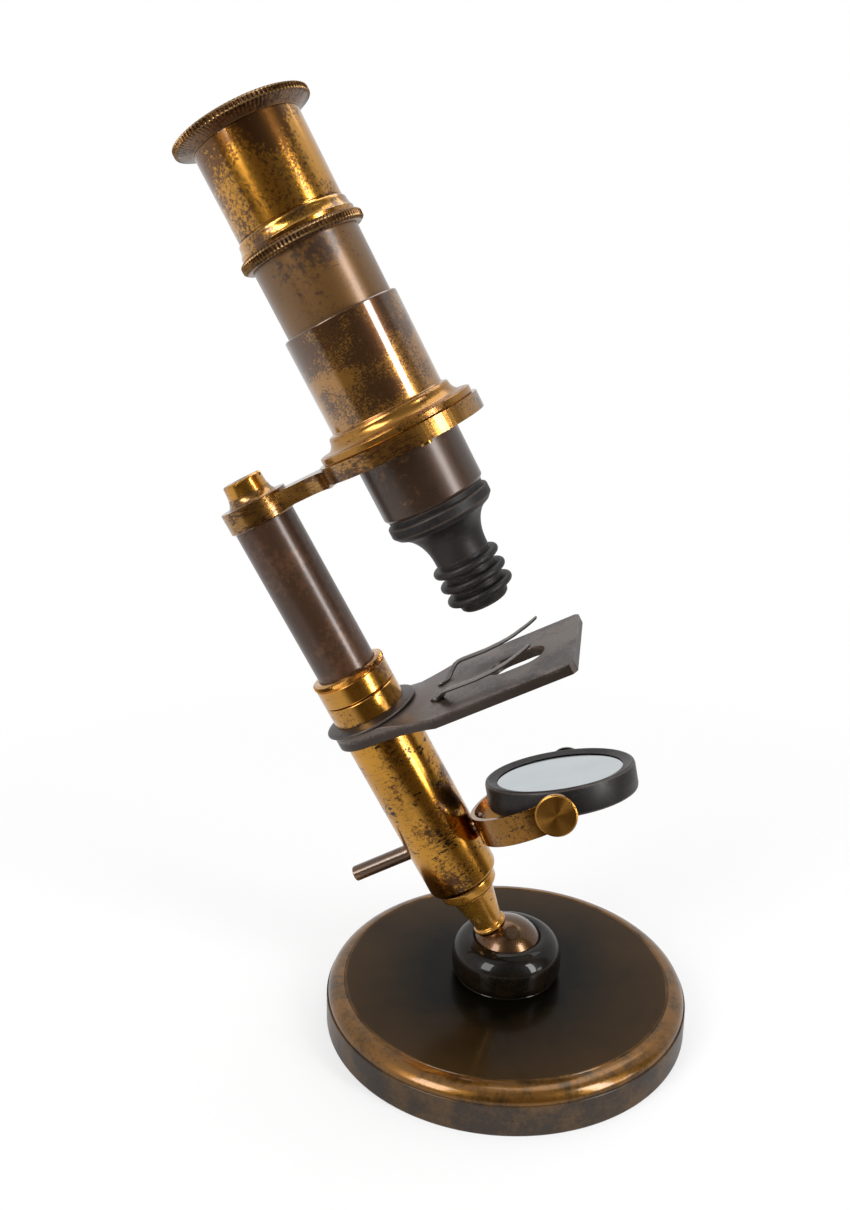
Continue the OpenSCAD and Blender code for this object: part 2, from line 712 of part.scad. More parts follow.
// Flanged sleeve in which the body tube slides
module body_sleeve() {
    flange_w = arm_top_w;
    cove_w = flange_w + flange_t;
    outline = concat(
        [[holder_r, arm_w], [holder_r, flange_w], [flange_r - 0.2, flange_w], [flange_r, flange_w + 0.3]],
        [[flange_r, cove_w - 0.2], [flange_r - 0.5, cove_w], [flange_r - 1.4, cove_w - 0.2]],
        oval(flange_r - 1.4, cove_w + cove_h - 0.6, flange_r - 1.4 - cove_r, cove_h - 0.6, -90, -180, 8),
        [[cove_r - 0.3, cove_w + cove_h], [holder_r + 0.5, cove_w + cove_h + 0.2], [holder_r, cove_w + cove_h + 0.4]],
        [[holder_r, holder_top_w - 0.3], [holder_r - 0.3, holder_top_w], [holder_bore_r, holder_top_w]],
        [[holder_bore_r, arm_w]]);
    color("#8a6430") on_optic() difference() {
        turned(outline);
        at_arm_screws() translate([0, 0, -1]) cylinder(r = 0.8 + seat_fit, h = 2.4);
    }
}

// Places of the screws through the arm's ring, at the ring's upper face
module at_arm_screws() {
    for (a = [60, 180, 300])
        rotate([0, 0, a]) translate([(holder_r + flange_r) / 2, 0, arm_top_w]) children();
}

// Screws that hold the flanged sleeve, put in from below
module arm_screws() {
    color("#7a5c2c") on_optic() at_arm_screws()
        translate([0, 0, -arm_t]) rotate([180, 0, 0]) screw(1.7, 0.8, 0.8, arm_t + 1.2, 0.5);
}

// Dark body tube
module body_tube() {
    color("#5a4330") on_optic() turned([[tube_bore_r, tube_w], [tube_r - 0.6, tube_w], [tube_r, tube_w + 0.8],
        [tube_r, tube_top_w - 0.3], [tube_r - 0.3, tube_top_w], [tube_bore_r, tube_top_w]]);
}

// Knurled grip ring on the body tube
module grip_ring() {
    color("#4a3826") on_optic() difference() {
        union() {
            translate([0, 0, grip_w + 0.5]) ribbed(grip_r, 0.35, grip_ribs, grip_h - 1);
            turned([[0, grip_w], [grip_r - 1, grip_w], [grip_r - 0.45, grip_w + 0.5],
                [grip_r - 0.45, grip_w + grip_h - 0.5], [grip_r - 1.1, grip_w + grip_h], [0, grip_w + grip_h]]);
        }
        translate([0, 0, grip_w - 1]) cylinder(r = tube_r + seat_fit, h = grip_h + 2);
    }
}

// Polished band between the grip ring and the tube's mouth
module tube_band() {
    w = grip_w + grip_h;
    color("#c8a050") on_optic() turned(concat([[tube_r + seat_fit, w], [grip_r - 1.3, w]],
        oval(grip_r + 0.1, w + band_h - 0.6, 1.9, band_h - 0.8, -130, -180, 6),
        [[tube_r + 0.25, w + band_h - 0.2], [tube_r + 0.1, w + band_h], [tube_r + seat_fit, w + band_h]]));
}

// Ring inside the body tube that stops stray light
module tube_stop() {
    color("#1c1a18") on_optic() tube(tube_bore_r - seat_fit, stop_bore_r, tube_w + stop_up, stop_t);
}

// Blackened rim and hollow cone of the objective
module objective_cone() {
    outline = concat(
        [[0, tube_w + spigot_len], [adapter_spigot_r, tube_w + spigot_len], [adapter_spigot_r, tube_w], [tube_r - 0.7, tube_w]],
        [[tube_r - 0.9, rim_top_w], [rim_r - 0.3, rim_top_w], [rim_r, rim_top_w - 0.4]],
        [[rim_r, cone_w + 1.3], [rim_r - 1.2, cone_w], [cone_top_r, cone_w]],
        oval(cone_top_r + 1.2, neck_w, cone_top_r + 1.2 - neck_r, cone_len, 102, 180, 12),
        [[neck_r, neck_w - 0.7], [0, neck_w - 0.7]]);
    color("#2a2626") on_optic() difference() {
        turned(outline);
        translate([0, 0, neck_w - 2]) cylinder(r = button_bore_r, h = tube_w - neck_w + 10);
        translate([0, 0, cone_w]) cylinder(r1 = button_bore_r, r2 = adapter_spigot_r - 1, h = tube_w + spigot_len + 0.1 - cone_w);
        translate([0, 0, neck_w - 2]) cylinder(r = button_bore_r + 1.2 + seat_fit, h = 3.4);
    }
}

// Height of the upper face of lens mount i, where the first is 1
function mount_w(i) = neck_w - 0.7 - (i - 1) * button_h;

// One of the three ringed lens mounts, screwed into the piece above it
module lens_mount(i, last = false) {
    w = mount_w(i);
    spigot = 1.9;
    r0 = neck_r - 0.2;
    mid = w - button_h / 2;
    half = button_ring_t / 2;
    bottom = last ? w - button_h - nose_len : w - button_h;
    tail = last
        ? [[r0 - 0.3, w - button_h], [r0 - 0.6, bottom + 0.6], [r0 - 1.5, bottom], [0, bottom]]
        : [[r0, bottom], [0, bottom]];
    outline = concat(
        [[0, w + spigot], [button_bore_r + 1.2, w + spigot], [button_bore_r + 1.2, w], [r0, w], [r0, mid + half]],
        [for (q = oval(button_r - half, mid, half, half, 90, -90, 8)) q], [[r0, mid - half]], tail);
    color("#2c2828") on_optic() difference() {
        turned(outline);
        translate([0, 0, bottom - 1]) cylinder(r = objective_lens_r - 0.8, h = 20);
        translate([0, 0, bottom - 1]) cylinder(r = objective_lens_r + seat_fit, h = 1 + lens_seat(last));
        if (!last) translate([0, 0, bottom - 1]) cylinder(r = button_bore_r + 1.2 + seat_fit, h = 1 + spigot + 0.1);
    }
}

// Depth from a lens mount's lower face to the shoulder that its lens rests on
function lens_seat(last) = last ? 1.5 : 3.4;

module lens_mount_1() { lens_mount(1); }
module lens_mount_2() { lens_mount(2); }
module lens_mount_3() { lens_mount(3, true); }

// Small glass of lens mount i, domed on its upper side
module objective_lens(i, last = false) {
    bottom = mount_w(i) - button_h - (last ? nose_len : 0);
    top = bottom + lens_seat(last);
    color("#dfe8ea") on_optic() translate([0, 0, top - 1.1]) cylinder(r = objective_lens_r, h = 1.1);
}

module objective_lens_1() { objective_lens(1); }
module objective_lens_2() { objective_lens(2); }
module objective_lens_3() { objective_lens(3, true); }

// Brass drum of the eyepiece, seated on the tube's mouth
module eye_drum() {
    color("#b08434") on_optic() difference() {
        turned([[0, tube_top_w + seat_fit], [drum_r - 0.2, tube_top_w + seat_fit], [drum_r - 0.2, drum_w - 0.2],
            [drum_r, drum_w], [drum_r, drum_top_w], [0, drum_top_w]]);
        translate([0, 0, tube_top_w + 2.4]) cylinder(r = drum_r - drum_wall, h = drum_h + 5);
        translate([0, 0, tube_top_w - 1]) cylinder(r = eye_tube_r + seat_fit - eye_tube_wall, h = 5);
    }
}

// Tube of the eyepiece that slides into the body tube
module eye_tube() {
    color("#6a4a2a") on_optic()
        tube(eye_tube_r, eye_tube_r - eye_tube_wall, tube_top_w - eye_tube_len, eye_tube_len);
}

// Knurled eye cap with its dished top and eye hole
module eye_cap() {
    w = drum_top_w;
    rim_w = w + cap_cone_h;
    color("#8c6a30") on_optic() difference() {
        union() {
            turned([[0, w - 3], [drum_r - drum_wall - seat_fit, w - 3], [drum_r - drum_wall - seat_fit, w],
                [drum_r + 0.1, w], [drum_r + 0.5, w + 0.3], [cap_r - 0.8, rim_w], [cap_r - 0.35, rim_w + 0.2],
                [cap_r - 0.35, cap_top_w - 0.2], [cap_r - 0.9, cap_top_w], [0, cap_top_w]]);
            translate([0, 0, rim_w + 0.2]) ribbed(cap_r, 0.3, cap_ribs, cap_rim_h - 0.5);
        }
        translate([0, 0, cap_top_w - 1.6]) cylinder(r1 = eye_hole_r + 1, r2 = 0.72 * cap_r, h = 1.7);
        translate([0, 0, w - 5]) cylinder(r = eye_hole_r, h = 20);
        translate([0, 0, w - 5]) cylinder(r = eye_lens_r + seat_fit, h = 5 + 0.2);
    }
}

// Lens under the eye hole
module eye_lens() {
    color("#dfe8ea") on_optic() translate([0, 0, drum_top_w - 2.4]) cylinder(r = eye_lens_r, h = 2.6);
}

// Larger lens at the lower end of the eyepiece's tube
module field_lens() {
    bottom = tube_top_w - eye_tube_len;
    color("#dfe8ea") on_optic() translate([0, 0, bottom + 1]) cylinder(r = field_lens_r, h = 2.4);
}

// Stop ring in the eyepiece's tube, with the cell of the field lens
module field_stop() {
    bottom = tube_top_w - eye_tube_len;
    r = eye_tube_r - eye_tube_wall - seat_fit;
    color("#2a2622") on_optic() difference() {
        translate([0, 0, bottom]) cylinder(r = r, h = 5);
        translate([0, 0, bottom - 1]) cylinder(r = 0.6 * field_lens_r, h = 10);
        translate([0, 0, bottom + 1]) cylinder(r = field_lens_r + seat_fit, h = 2.4 + seat_fit);
    }
}

// Places of the clips' pivots on the stage, on side s
module at_clip(s) {
    translate([clip_pivot_u, s * clip_pivot_v, stage_top_w]) children();
}

// Side view of a clip's strip: distance from its pivot against height
module clip_profile() {
    lift = clip_rise;
    tip = clip_rise + clip_tip_rise;
    path = [[-3, 0], [1.6, 0], [3, 0.45 * lift], [4.6, 0.9 * lift], [6.5, lift], [0.45 * clip_len, 0.94 * lift],
        [0.6 * clip_len, lift + 0.04 * clip_tip_rise], [0.75 * clip_len, lift + 0.27 * clip_tip_rise],
        [0.88 * clip_len, lift + 0.6 * clip_tip_rise], [clip_len, tip]];
    polygon(concat([for (q = path) [q[0], q[1] + clip_t]],
        [for (i = [len(path) - 1:-1:0]) path[i]]));
}

// Clip seen from above: a round eye, an outward bend and a straight strip
module clip_plan() {
    out = clip_strip_v - clip_pivot_v;
    h = clip_width / 2;
    circle(r = 2.2);
    polygon([[-1.2, -1.2], [1.2 * out, -out - h], [clip_len - 0.8, -out - h], [clip_len, -out - 0.5 * h],
        [clip_len, -out + 0.5 * h], [clip_len - 0.8, -out + h], [1.2 * out + 0.9, -out + h], [1.2, 1.2]]);
}

// Spring clip on side s
module clip(s) {
    color("#7a7672") on_limb() at_clip(s) mirror([0, s > 0 ? 1 : 0, 0]) difference() {
        intersection() {
            linear_extrude(clip_rise + clip_tip_rise + clip_t + 1) clip_plan();
            translate([0, 20, 0]) rotate([90, 0, 0]) linear_extrude(40) clip_profile();
        }
        translate([0, 0, -1]) cylinder(r = 0.9 + seat_fit, h = 3);
    }
}

module clip_left() { clip(1); }
module clip_right() { clip(-1); }

// Pin on which a clip turns, riveted in the clip and running in the stage
module clip_pin(s) {
    color("#5c564e") on_limb() at_clip(s) {
        translate([0, 0, -stage_t + 0.2]) cylinder(r = 0.9, h = stage_t + clip_t);
        translate([0, 0, clip_t + seat_fit]) cylinder(r1 = 1.2, r2 = 1, h = 0.25);
    }
}

module clip_pin_left() { clip_pin(1); }
module clip_pin_right() { clip_pin(-1); }

// Rod through the sleeve, with a washer and a riveted end that carry the fork
module mirror_rod() {
    head_lift = 0.25;
    color("#7a6048") on_rod() rotate([0, 90, 0]) {
        translate([0, 0, -rod_back]) cylinder(r = rod_r, h = rod_back + bow_u - running_fit);
        translate([0, 0, bow_u - running_fit - eps])
            cylinder(r = 0.68 * rod_r, h = fork_t + 2 * running_fit + head_lift + 0.5);
        translate([0, 0, bow_u + fork_t + running_fit + head_lift]) cylinder(r1 = rod_r + 0.6, r2 = rod_r - 0.2, h = 1.1);
    }
}

// Side of the fork's bow seen from above, grown by t
module bow(t) {
    r = fork_v + t;
    back = mirror_u - bow_u - fork_t;
    hull_u = back + t - r;
    union() {
        translate([-hull_u, 0]) circle(r = r);
        translate([-hull_u, -r]) square([hull_u + 4 + t, 2 * r]);
    }
}

// Brass fork bent from strip, with round ends at the pivots
module mirror_fork() {
    color("#b8862d") on_fork() difference() {
        intersection() {
            translate([0, 0, -fork_width]) linear_extrude(2 * fork_width) difference() {
                bow(fork_t);
                bow(0);
                translate([0.55 * fork_width, -40]) square([40, 80]);
            }
            rotate([90, 0, 0]) translate([0, 0, -40]) linear_extrude(80) union() {
                translate([-60, -fork_width / 2]) square([60, fork_width]);
                circle(r = fork_width / 2);
            }
        }
        translate([-mirror_u, 0, 0]) rotate([0, 90, 0]) cylinder(r = 0.68 * rod_r + running_fit, h = 20);
        rotate([90, 0, 0]) translate([0, 0, -40]) cylinder(r = pivot_r + seat_fit, h = 80);
    }
}

// Two pivot screws through the fork's arms into the cell
module pivot_screws() {
    gap = fork_v + fork_t;
    color("#a07430") on_fork() for (s = [-1, 1]) rotate([s * 90, 0, 0]) {
        translate([0, 0, gap + seat_fit]) cylinder(r = pivot_head_r, h = pivot_head_h - 0.3);
        translate([0, 0, gap + seat_fit + pivot_head_h - 0.3 - eps])
            cylinder(r1 = pivot_head_r, r2 = pivot_head_r - 0.4, h = 0.3);
        translate([0, 0, cell_r - 2.5]) cylinder(r = pivot_r, h = gap - cell_r + 2.5 + 2 * seat_fit);
    }
}

// Black cell of the mirror, with a sloping lip round each glass
module mirror_cell() {
    h = cell_t / 2;
    inner = glass_r - 0.9;
    outline = concat(
        [[inner, -h + glass_depth + glass_t], [glass_r + seat_fit, -h + glass_depth + glass_t]],
        [[glass_r + seat_fit, -h + glass_depth], [glass_r - 0.5, -h + glass_depth - 0.3]],
        [[cell_r - 0.9, -h], [cell_r - 0.2, -h + 0.4], [cell_r, -h + 1.2]],
        [[cell_r, h - 1.2], [cell_r - 0.2, h - 0.4], [cell_r - 0.9, h]],
        [[glass_r - 0.5, h - glass_depth + 0.3], [glass_r + seat_fit, h - glass_depth]],
        [[glass_r + seat_fit, h - glass_depth - glass_t], [inner, h - glass_depth - glass_t]]);
    color("#282424") on_mirror() difference() {
        translate([0, 0, mirror_rise]) turned(outline);
        rotate([90, 0, 0]) translate([0, 0, -40]) cylinder(r = cell_hole_r, h = 80);
    }
}

// Flat glass on the upper side
module mirror_flat() {
    color("#d2d8db") on_mirror()
        translate([0, 0, mirror_rise + cell_t / 2 - glass_depth - glass_t]) cylinder(r = glass_r, h = glass_t);
}

// Hollow-ground glass on the lower side
module mirror_hollow() {
    low = -cell_t / 2 + glass_depth;
    dish = asin((glass_r - 1) / dish_r);
    color("#d2d8db") on_mirror() translate([0, 0, mirror_rise]) turned(concat(
        arc(0, low - dish_r * cos(dish), dish_r, 90, 90 - dish, 12),
        [[glass_r, low], [glass_r, low + glass_t], [0, low + glass_t]]));
}

foot();
foot_weight();
weight_screws();
socket();
joint_plate();
disc_spring();
ball_cup();
ball();
neck();
lower_sleeve();
key_screw();
stage();
stage_washer();
collar();
focus_ring();
ring_screws();
pillar();
pillar_plug();
arm();
arm_nut();
body_sleeve();
arm_screws();
body_tube();
grip_ring();
tube_band();
tube_stop();
objective_cone();
lens_mount_1();
lens_mount_2();
lens_mount_3();
objective_lens_1();
objective_lens_2();
objective_lens_3();
eye_drum();
eye_tube();
eye_cap();
eye_lens();
field_lens();
field_stop();
clip_left();
clip_right();
clip_pin_left();
clip_pin_right();
mirror_rod();
mirror_fork();
pivot_screws();
mirror_cell();
mirror_flat();
mirror_hollow();
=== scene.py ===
import math

import bmesh
import bpy
import numpy as np
from bpy.props import FloatProperty, FloatVectorProperty, IntProperty, PointerProperty
from mathutils import Matrix, Vector


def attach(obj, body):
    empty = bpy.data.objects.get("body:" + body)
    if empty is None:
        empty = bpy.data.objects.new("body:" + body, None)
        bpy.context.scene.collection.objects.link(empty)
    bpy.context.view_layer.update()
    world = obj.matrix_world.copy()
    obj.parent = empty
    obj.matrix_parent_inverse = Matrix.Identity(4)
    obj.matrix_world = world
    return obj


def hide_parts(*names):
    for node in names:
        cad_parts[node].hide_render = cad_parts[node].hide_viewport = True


bl_info = {
    "name": "Brass Microscope",
    "version": (1, 0, 0),
    "blender": (4, 5, 0),
    "location": "View3D > Sidebar > Microscope",
    "description": "Builds a small brass compound microscope on a round foot",
    "category": "Add Mesh",
}

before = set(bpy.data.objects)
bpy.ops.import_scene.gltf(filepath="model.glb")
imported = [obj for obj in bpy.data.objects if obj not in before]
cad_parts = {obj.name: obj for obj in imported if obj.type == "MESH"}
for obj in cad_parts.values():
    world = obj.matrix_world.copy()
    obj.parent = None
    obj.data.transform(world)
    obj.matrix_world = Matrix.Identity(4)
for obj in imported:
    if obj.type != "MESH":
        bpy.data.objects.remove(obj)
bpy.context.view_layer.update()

MM = 0.001  # shapes are worked out in millimetres and stored in metres


# ---------------------------------------------------------------- settings

def linear(hex_colour):
    """A colour written as sRGB hex, turned to linear light: below 0.04045 a share of 12.92, above it a power of 2.4."""
    rgb = np.array([int(hex_colour[i:i + 2], 16) for i in (1, 3, 5)]) / 255.0
    low = rgb / 12.92
    high = ((rgb + 0.055) / 1.055) ** 2.4
    return tuple(float(c) for c in np.where(rgb <= 0.04045, low, high))


def length(name, description, millimetres):
    """A size that a user can set, stored in metres."""
    return FloatProperty(
        name=name, description=description, default=millimetres * MM, min=0.0, unit="LENGTH", precision=5
    )


def angle(name, description, degrees):
    """An angle that a user can set."""
    return FloatProperty(
        name=name, description=description, default=math.radians(degrees), subtype="ANGLE"
    )


def colour(name, description, hex_colour):
    """A colour that a user can set, stored in linear light."""
    return FloatVectorProperty(
        name=name, description=description, default=linear(hex_colour), subtype="COLOR", size=3, min=0.0, max=1.0
    )


class PoseSettings(bpy.types.PropertyGroup):
    """How the parts stand to each other, as the solids have them at rest."""

    ball_height: length("Ball height", "Height of the ball's centre above the table", 17.5)
    lean: angle("Lean", "Lean of the limb from upright", 28.1)
    spin: angle("Spin", "Turn of the limb about its own axis", -15.2)
    optic_offset: length("Optical axis", "Distance from the pillar's axis to the optical axis", 43.65)
    rod_height: length("Rod height", "Height of the mirror's rod above the ball", 42.0)
    rod_yaw: angle("Rod yaw", "Turn of the mirror's rod about the limb", 5.2)
    fork_twist: angle("Fork twist", "Twist of the fork about its rod", -12.6)
    pivot_offset: length("Pivot offset", "Distance from the pillar's axis to the mirror's pivots", 37.8)
    mirror_tilt: angle("Mirror tilt", "Tilt of the mirror in its fork", 15.5)
    mirror_rise: length("Mirror rise", "Height of the mirror cell's middle above its pivots", 1.8)


class SizeSettings(bpy.types.PropertyGroup):
    """Sizes of the main pieces."""

    foot_radius: length("Foot radius", "Radius of the round foot", 52.5)
    foot_height: length("Foot height", "Height of the foot's flat top", 11.9)
    foot_side: length("Foot side", "Height of the foot's upright side", 8.4)
    ball_radius: length("Ball radius", "Radius of the ball joint", 11.3)
    socket_radius: length("Socket radius", "Radius of the socket's side", 16.0)
    sleeve_radius: length("Sleeve radius", "Radius of the pillar's lower sleeve", 10.45)
    pillar_radius: length("Pillar radius", "Radius of the sliding pillar", 8.3)
    collar_radius: length("Collar radius", "Radius of the collar and the milled ring", 10.3)
    holder_radius: length("Body sleeve radius", "Radius of the sleeve that holds the body tube", 15.0)
    tube_radius: length("Body tube radius", "Radius of the body tube", 13.75)
    drum_radius: length("Drum radius", "Radius of the eyepiece's drum", 13.5)
    cap_radius: length("Cap radius", "Radius of the eye cap's knurled rim", 17.4)
    cell_radius: length("Mirror radius", "Radius of the mirror's cell", 21.1)
    cap_ribs: IntProperty(name="Cap ribs", description="Ribs on the eye cap", default=100, min=20, max=200)
    grip_ribs: IntProperty(name="Grip ribs", description="Ribs on the grip ring", default=96, min=20, max=200)
    focus_ribs: IntProperty(name="Focus ribs", description="Ribs on the milled ring", default=112, min=20, max=200)


class ColourSettings(bpy.types.PropertyGroup):
    """Base colours of the finishes."""

    gold: colour("Lacquered brass", "Brass where its lacquer is clean", "#DE9E38")
    tarnish: colour("Tarnish", "Brass where its lacquer has browned", "#724519")
    browned: colour("Browned brass", "Brass under lacquer that has gone brown all over", "#6E4A26")
    stain: colour("Stain", "Black spots and scratches in the lacquer", "#1E130A")
    copper: colour("Ball", "Copper-toned brass of the ball", "#54361A")
    bronze: colour("Bronzed tube", "Brown-bronzed tubes", "#452F20")
    bronze_light: colour("Bronzed tube, worn", "Lighter patches of the bronzed tubes", "#735026")
    black: colour("Blackened brass", "Blackened objective and mirror cell", "#171413")
    foot_worn: colour("Foot, worn", "Worn brown lacquer on the foot's edge", "#825822")
    plate: colour("Stage", "Grey-brown lacquer of the stage", "#4C423E")
    steel: colour("Screws", "Darkened steel", "#4A443E")
    lead: colour("Weight", "Dull lead", "#5A5C60")
    floor: colour("Floor", "Pale floor", "#F4F4F4")


def settings():
    """The scene's settings for the microscope."""
    return bpy.context.scene.brass_microscope


class MicroscopeSettings(bpy.types.PropertyGroup):
    """All settings of the microscope."""

    pose: PointerProperty(type=PoseSettings)
    size: PointerProperty(type=SizeSettings)
    colours: PointerProperty(type=ColourSettings)


def size(name):
    """A size in millimetres."""
    return getattr(settings().size, name) / MM


def tint(name):
    """A base colour in linear light."""
    return tuple(getattr(settings().colours, name))


# ---------------------------------------------------------------- frames

def shift(x=0.0, z=0.0):
    """A move in millimetres."""
    return Matrix.Translation((x, 0.0, z))


def turn(radians, axis):
    """A turn about an axis."""
    return Matrix.Rotation(radians, 4, axis)


def places():
    """The frames in which pieces are worked out, in millimetres: each one's axis is its own +Z."""
    p = settings().pose
    foot = shift()
    limb = shift(z=p.ball_height / MM) @ turn(-p.lean, "Y") @ turn(p.spin, "Z")
    optic = limb @ shift(x=p.optic_offset / MM)
    rod = limb @ turn(p.rod_yaw, "Z") @ shift(z=p.rod_height / MM)
    fork = rod @ turn(p.fork_twist, "X") @ shift(x=p.pivot_offset / MM)
    mirror = fork @ turn(p.mirror_tilt, "Y")
    cell = mirror @ shift(z=p.mirror_rise / MM)
    return {"foot": foot, "limb": limb, "optic": optic, "rod": rod, "fork": fork, "mirror": mirror, "cell": cell}


def place(name):
    """One of the frames by name."""
    return places()[name]


# ---------------------------------------------------------------- meshes

SHARP = math.radians(35.0)  # corners sharper than this stay sharp
SAME_PLACE = 1e-6  # points nearer than this are one point
LEAST_BEND = 18.0  # degrees: corners of an outline that bend less aren't rounded
SIDE_SHARE = 0.35  # share of a side that the rounding at its end may take up
BESIDE = 1.35  # the point beside a rounding lies this many cuts from the corner
BESIDE_SHARE = 0.45  # and at most at this share of the side
HALF_RUBBED = 0.3  # wear of the points beside a rounding
POINTS_A_RIB = 8
RIB_BAND = 1.2  # ribs are cut only this near a piece's largest radius


def linked(name, mesh):
    """An object of a mesh, in the scene."""
    item = bpy.data.objects.new(name, mesh)
    bpy.context.scene.collection.objects.link(item)
    return item


def to_object(name, points, faces, matrix, wear=None):
    """Makes an object at the origin from points in millimetres in a frame. wear says how much each point stands on an
    edge: on turned pieces an outer corner, where some finishes are rubbed bare; on strips a narrow side, where the
    clips' finish paints shade."""
    rotation = np.array(matrix.to_3x3())
    origin = np.array(matrix.translation)
    world = (points @ rotation.T + origin) * MM
    mesh = bpy.data.meshes.new(name)
    mesh.from_pydata(world.tolist(), [], faces)
    values = np.zeros(len(points)) if wear is None else wear
    attribute = mesh.attributes.new("wear", "FLOAT", "POINT")
    attribute.data.foreach_set("value", values.astype(np.float32))
    mesh.validate()
    mesh.shade_smooth()
    mesh.set_sharp_from_angle(angle=SHARP)
    mesh.update()
    return linked(name, mesh)


def softened(points, radius, closed, steps):
    """An outline whose sharp corners are rounded: each corner is swapped for a quadratic curve that starts and ends a
    cut away from it, with one more point beside each end so that shading stays flat on the long faces. Returns the
    points and how much each stands on an outer corner."""
    path = np.array(points, float)
    path = path[np.concatenate([[True], np.linalg.norm(np.diff(path, axis=0), axis=1) > SAME_PLACE])]
    out, edge = [], []
    for i, here in enumerate(path):
        a, b = path[i - 1] - here, path[(i + 1) % len(path)] - here
        la, lb = np.linalg.norm(a), np.linalg.norm(b)
        bend = 180.0 - math.degrees(math.acos(np.clip(a @ b / (la * lb), -1, 1)))
        if bend < LEAST_BEND or not closed and i in (0, len(path) - 1):
            out.append(here)
            edge.append(0.0)
            continue
        cut = min(radius, SIDE_SHARE * la, SIDE_SHARE * lb)
        start, end = here + a / la * cut, here + b / lb * cut
        t = np.linspace(0, 1, steps + 1)[:, None]
        curve = (1 - t) ** 2 * start + 2 * t * (1 - t) * here + t ** 2 * end
        before, after = (
            here + way / far * min(cut * BESIDE, BESIDE_SHARE * far) for way, far in ((a, la), (b, lb)))
        out.extend([before, *curve, after])
        outer = float(a[0] * b[1] - a[1] * b[0] < 0)
        edge.extend([HALF_RUBBED * outer] + [outer] * (steps + 1) + [HALF_RUBBED * outer])
    return np.array(out), np.array(edge)


def lathe(name, frame_name, outline, corner, segments=192, ribs=None, closed=True):
    """A turned piece: the outline in radius and height is carried round the frame's +Z. A point is
    (r cos a, r sin a, h). ribs is (low, high, count, depth): between those heights the radius loses
    depth times (1 + cos(count a)) / 2. An outline runs so that the material is on its left: up the
    outside and inwards over the top. One that isn't closed starts and ends on the axis."""
    if ribs:
        segments = ribs[2] * POINTS_A_RIB
    profile, edge = softened(outline, corner, closed, 2 if ribs else 4)
    r, h = profile[:, 0], profile[:, 1]
    a = np.arange(segments) * (2 * np.pi / segments)
    radius = np.repeat(r[:, None], segments, axis=1)
    height = np.repeat(h[:, None], segments, axis=1)
    if ribs:
        low, high, count, depth = ribs
        inside = ((h >= low) & (h <= high) & (r > r.max() - RIB_BAND))[:, None]
        radius = radius - inside * depth * 0.5 * (1 + np.cos(count * a))[None, :]
    points = np.stack([radius * np.cos(a), radius * np.sin(a), height], axis=-1)
    wear = np.repeat(edge[:, None], segments, axis=1)
    if not closed:
        points, wear = points[1:-1], wear[1:-1]
    rows = len(points)
    index = np.arange(rows * segments).reshape(rows, segments)
    i = np.arange(rows if closed else rows - 1)
    lower, upper = index[i], index[(i + 1) % rows]
    quads = np.stack([lower, np.roll(lower, -1, axis=1), np.roll(upper, -1, axis=1), upper], axis=-1)
    points, wear, faces = points.reshape(-1, 3), wear.ravel(), quads.reshape(-1, 4).tolist()
    if not closed:
        # the ends are closed with fans round the axis
        hub = np.full(segments, len(points))
        faces += np.stack([hub, np.roll(index[0], -1), index[0]], axis=-1).tolist()
        faces += np.stack([hub + 1, index[-1], np.roll(index[-1], -1)], axis=-1).tolist()
        points = np.vstack([points, [[0.0, 0.0, h[0]], [0.0, 0.0, h[-1]]]])
        wear = np.concatenate([wear, [0.0, 0.0]])
    return to_object(name, points, faces, place(frame_name), wear)


def arc(cx, cy, rx, ry, start, end, count):
    """Points of an ellipse about (cx, cy) from one angle to another, in degrees."""
    t = np.radians(np.linspace(start, end, count + 1))
    return [[cx + rx * math.cos(x), cy + ry * math.sin(x)] for x in t]


def strip(name, path, half_width, half_thickness, frame_name, across):
    """A flat strip bent along a path: at each point of the path the section is a rounded rectangle,
    half_width wide along the across direction and half_thickness thick along the path's own normal.
    A point is path + w across + t normal, where (w, t) runs round the section."""
    tangent = np.gradient(path, axis=0)
    tangent /= np.linalg.norm(tangent, axis=1)[:, None]
    normal = np.cross(tangent, across)
    normal /= np.linalg.norm(normal, axis=1)[:, None]
    side = np.cross(normal, tangent)
    q = 0.5 * half_thickness  # radius of the section's corners
    section = np.array([
        (sx, sy, q * math.cos(t), q * math.sin(t))
        for sx, sy, begin in ((1, 1, 0), (-1, 1, 90), (-1, -1, 180), (1, -1, 270))
        for t in np.radians(np.linspace(begin, begin + 90, 4))
    ])
    w = section[:, 0] * (half_width[:, None] - q) + section[:, 2]
    t = np.broadcast_to(section[:, 1] * (half_thickness - q) + section[:, 3], w.shape)
    grid = path[:, None, :] + w[..., None] * side[:, None, :] + t[..., None] * normal[:, None, :]
    index = np.arange(w.size).reshape(w.shape)
    a, b = index[:-1], index[1:]
    quads = np.stack([a, np.roll(a, -1, axis=1), np.roll(b, -1, axis=1), b], axis=-1)
    faces = quads.reshape(-1, 4).tolist() + [index[0].tolist(), index[-1][::-1].tolist()]
    # the strip's narrow sides are marked: the clips' finish paints them dark there as painted shade
    wear = np.tile(np.abs(section[:, 2]) / q, len(path))
    item = to_object(name, grid.reshape(-1, 3), faces, place(frame_name), wear)
    work = bmesh.new()
    work.from_mesh(item.data)
    bmesh.ops.remove_doubles(work, verts=work.verts, dist=1e-7)
    bmesh.ops.recalc_face_normals(work, faces=work.faces)
    work.to_mesh(item.data)
    work.free()
    return item


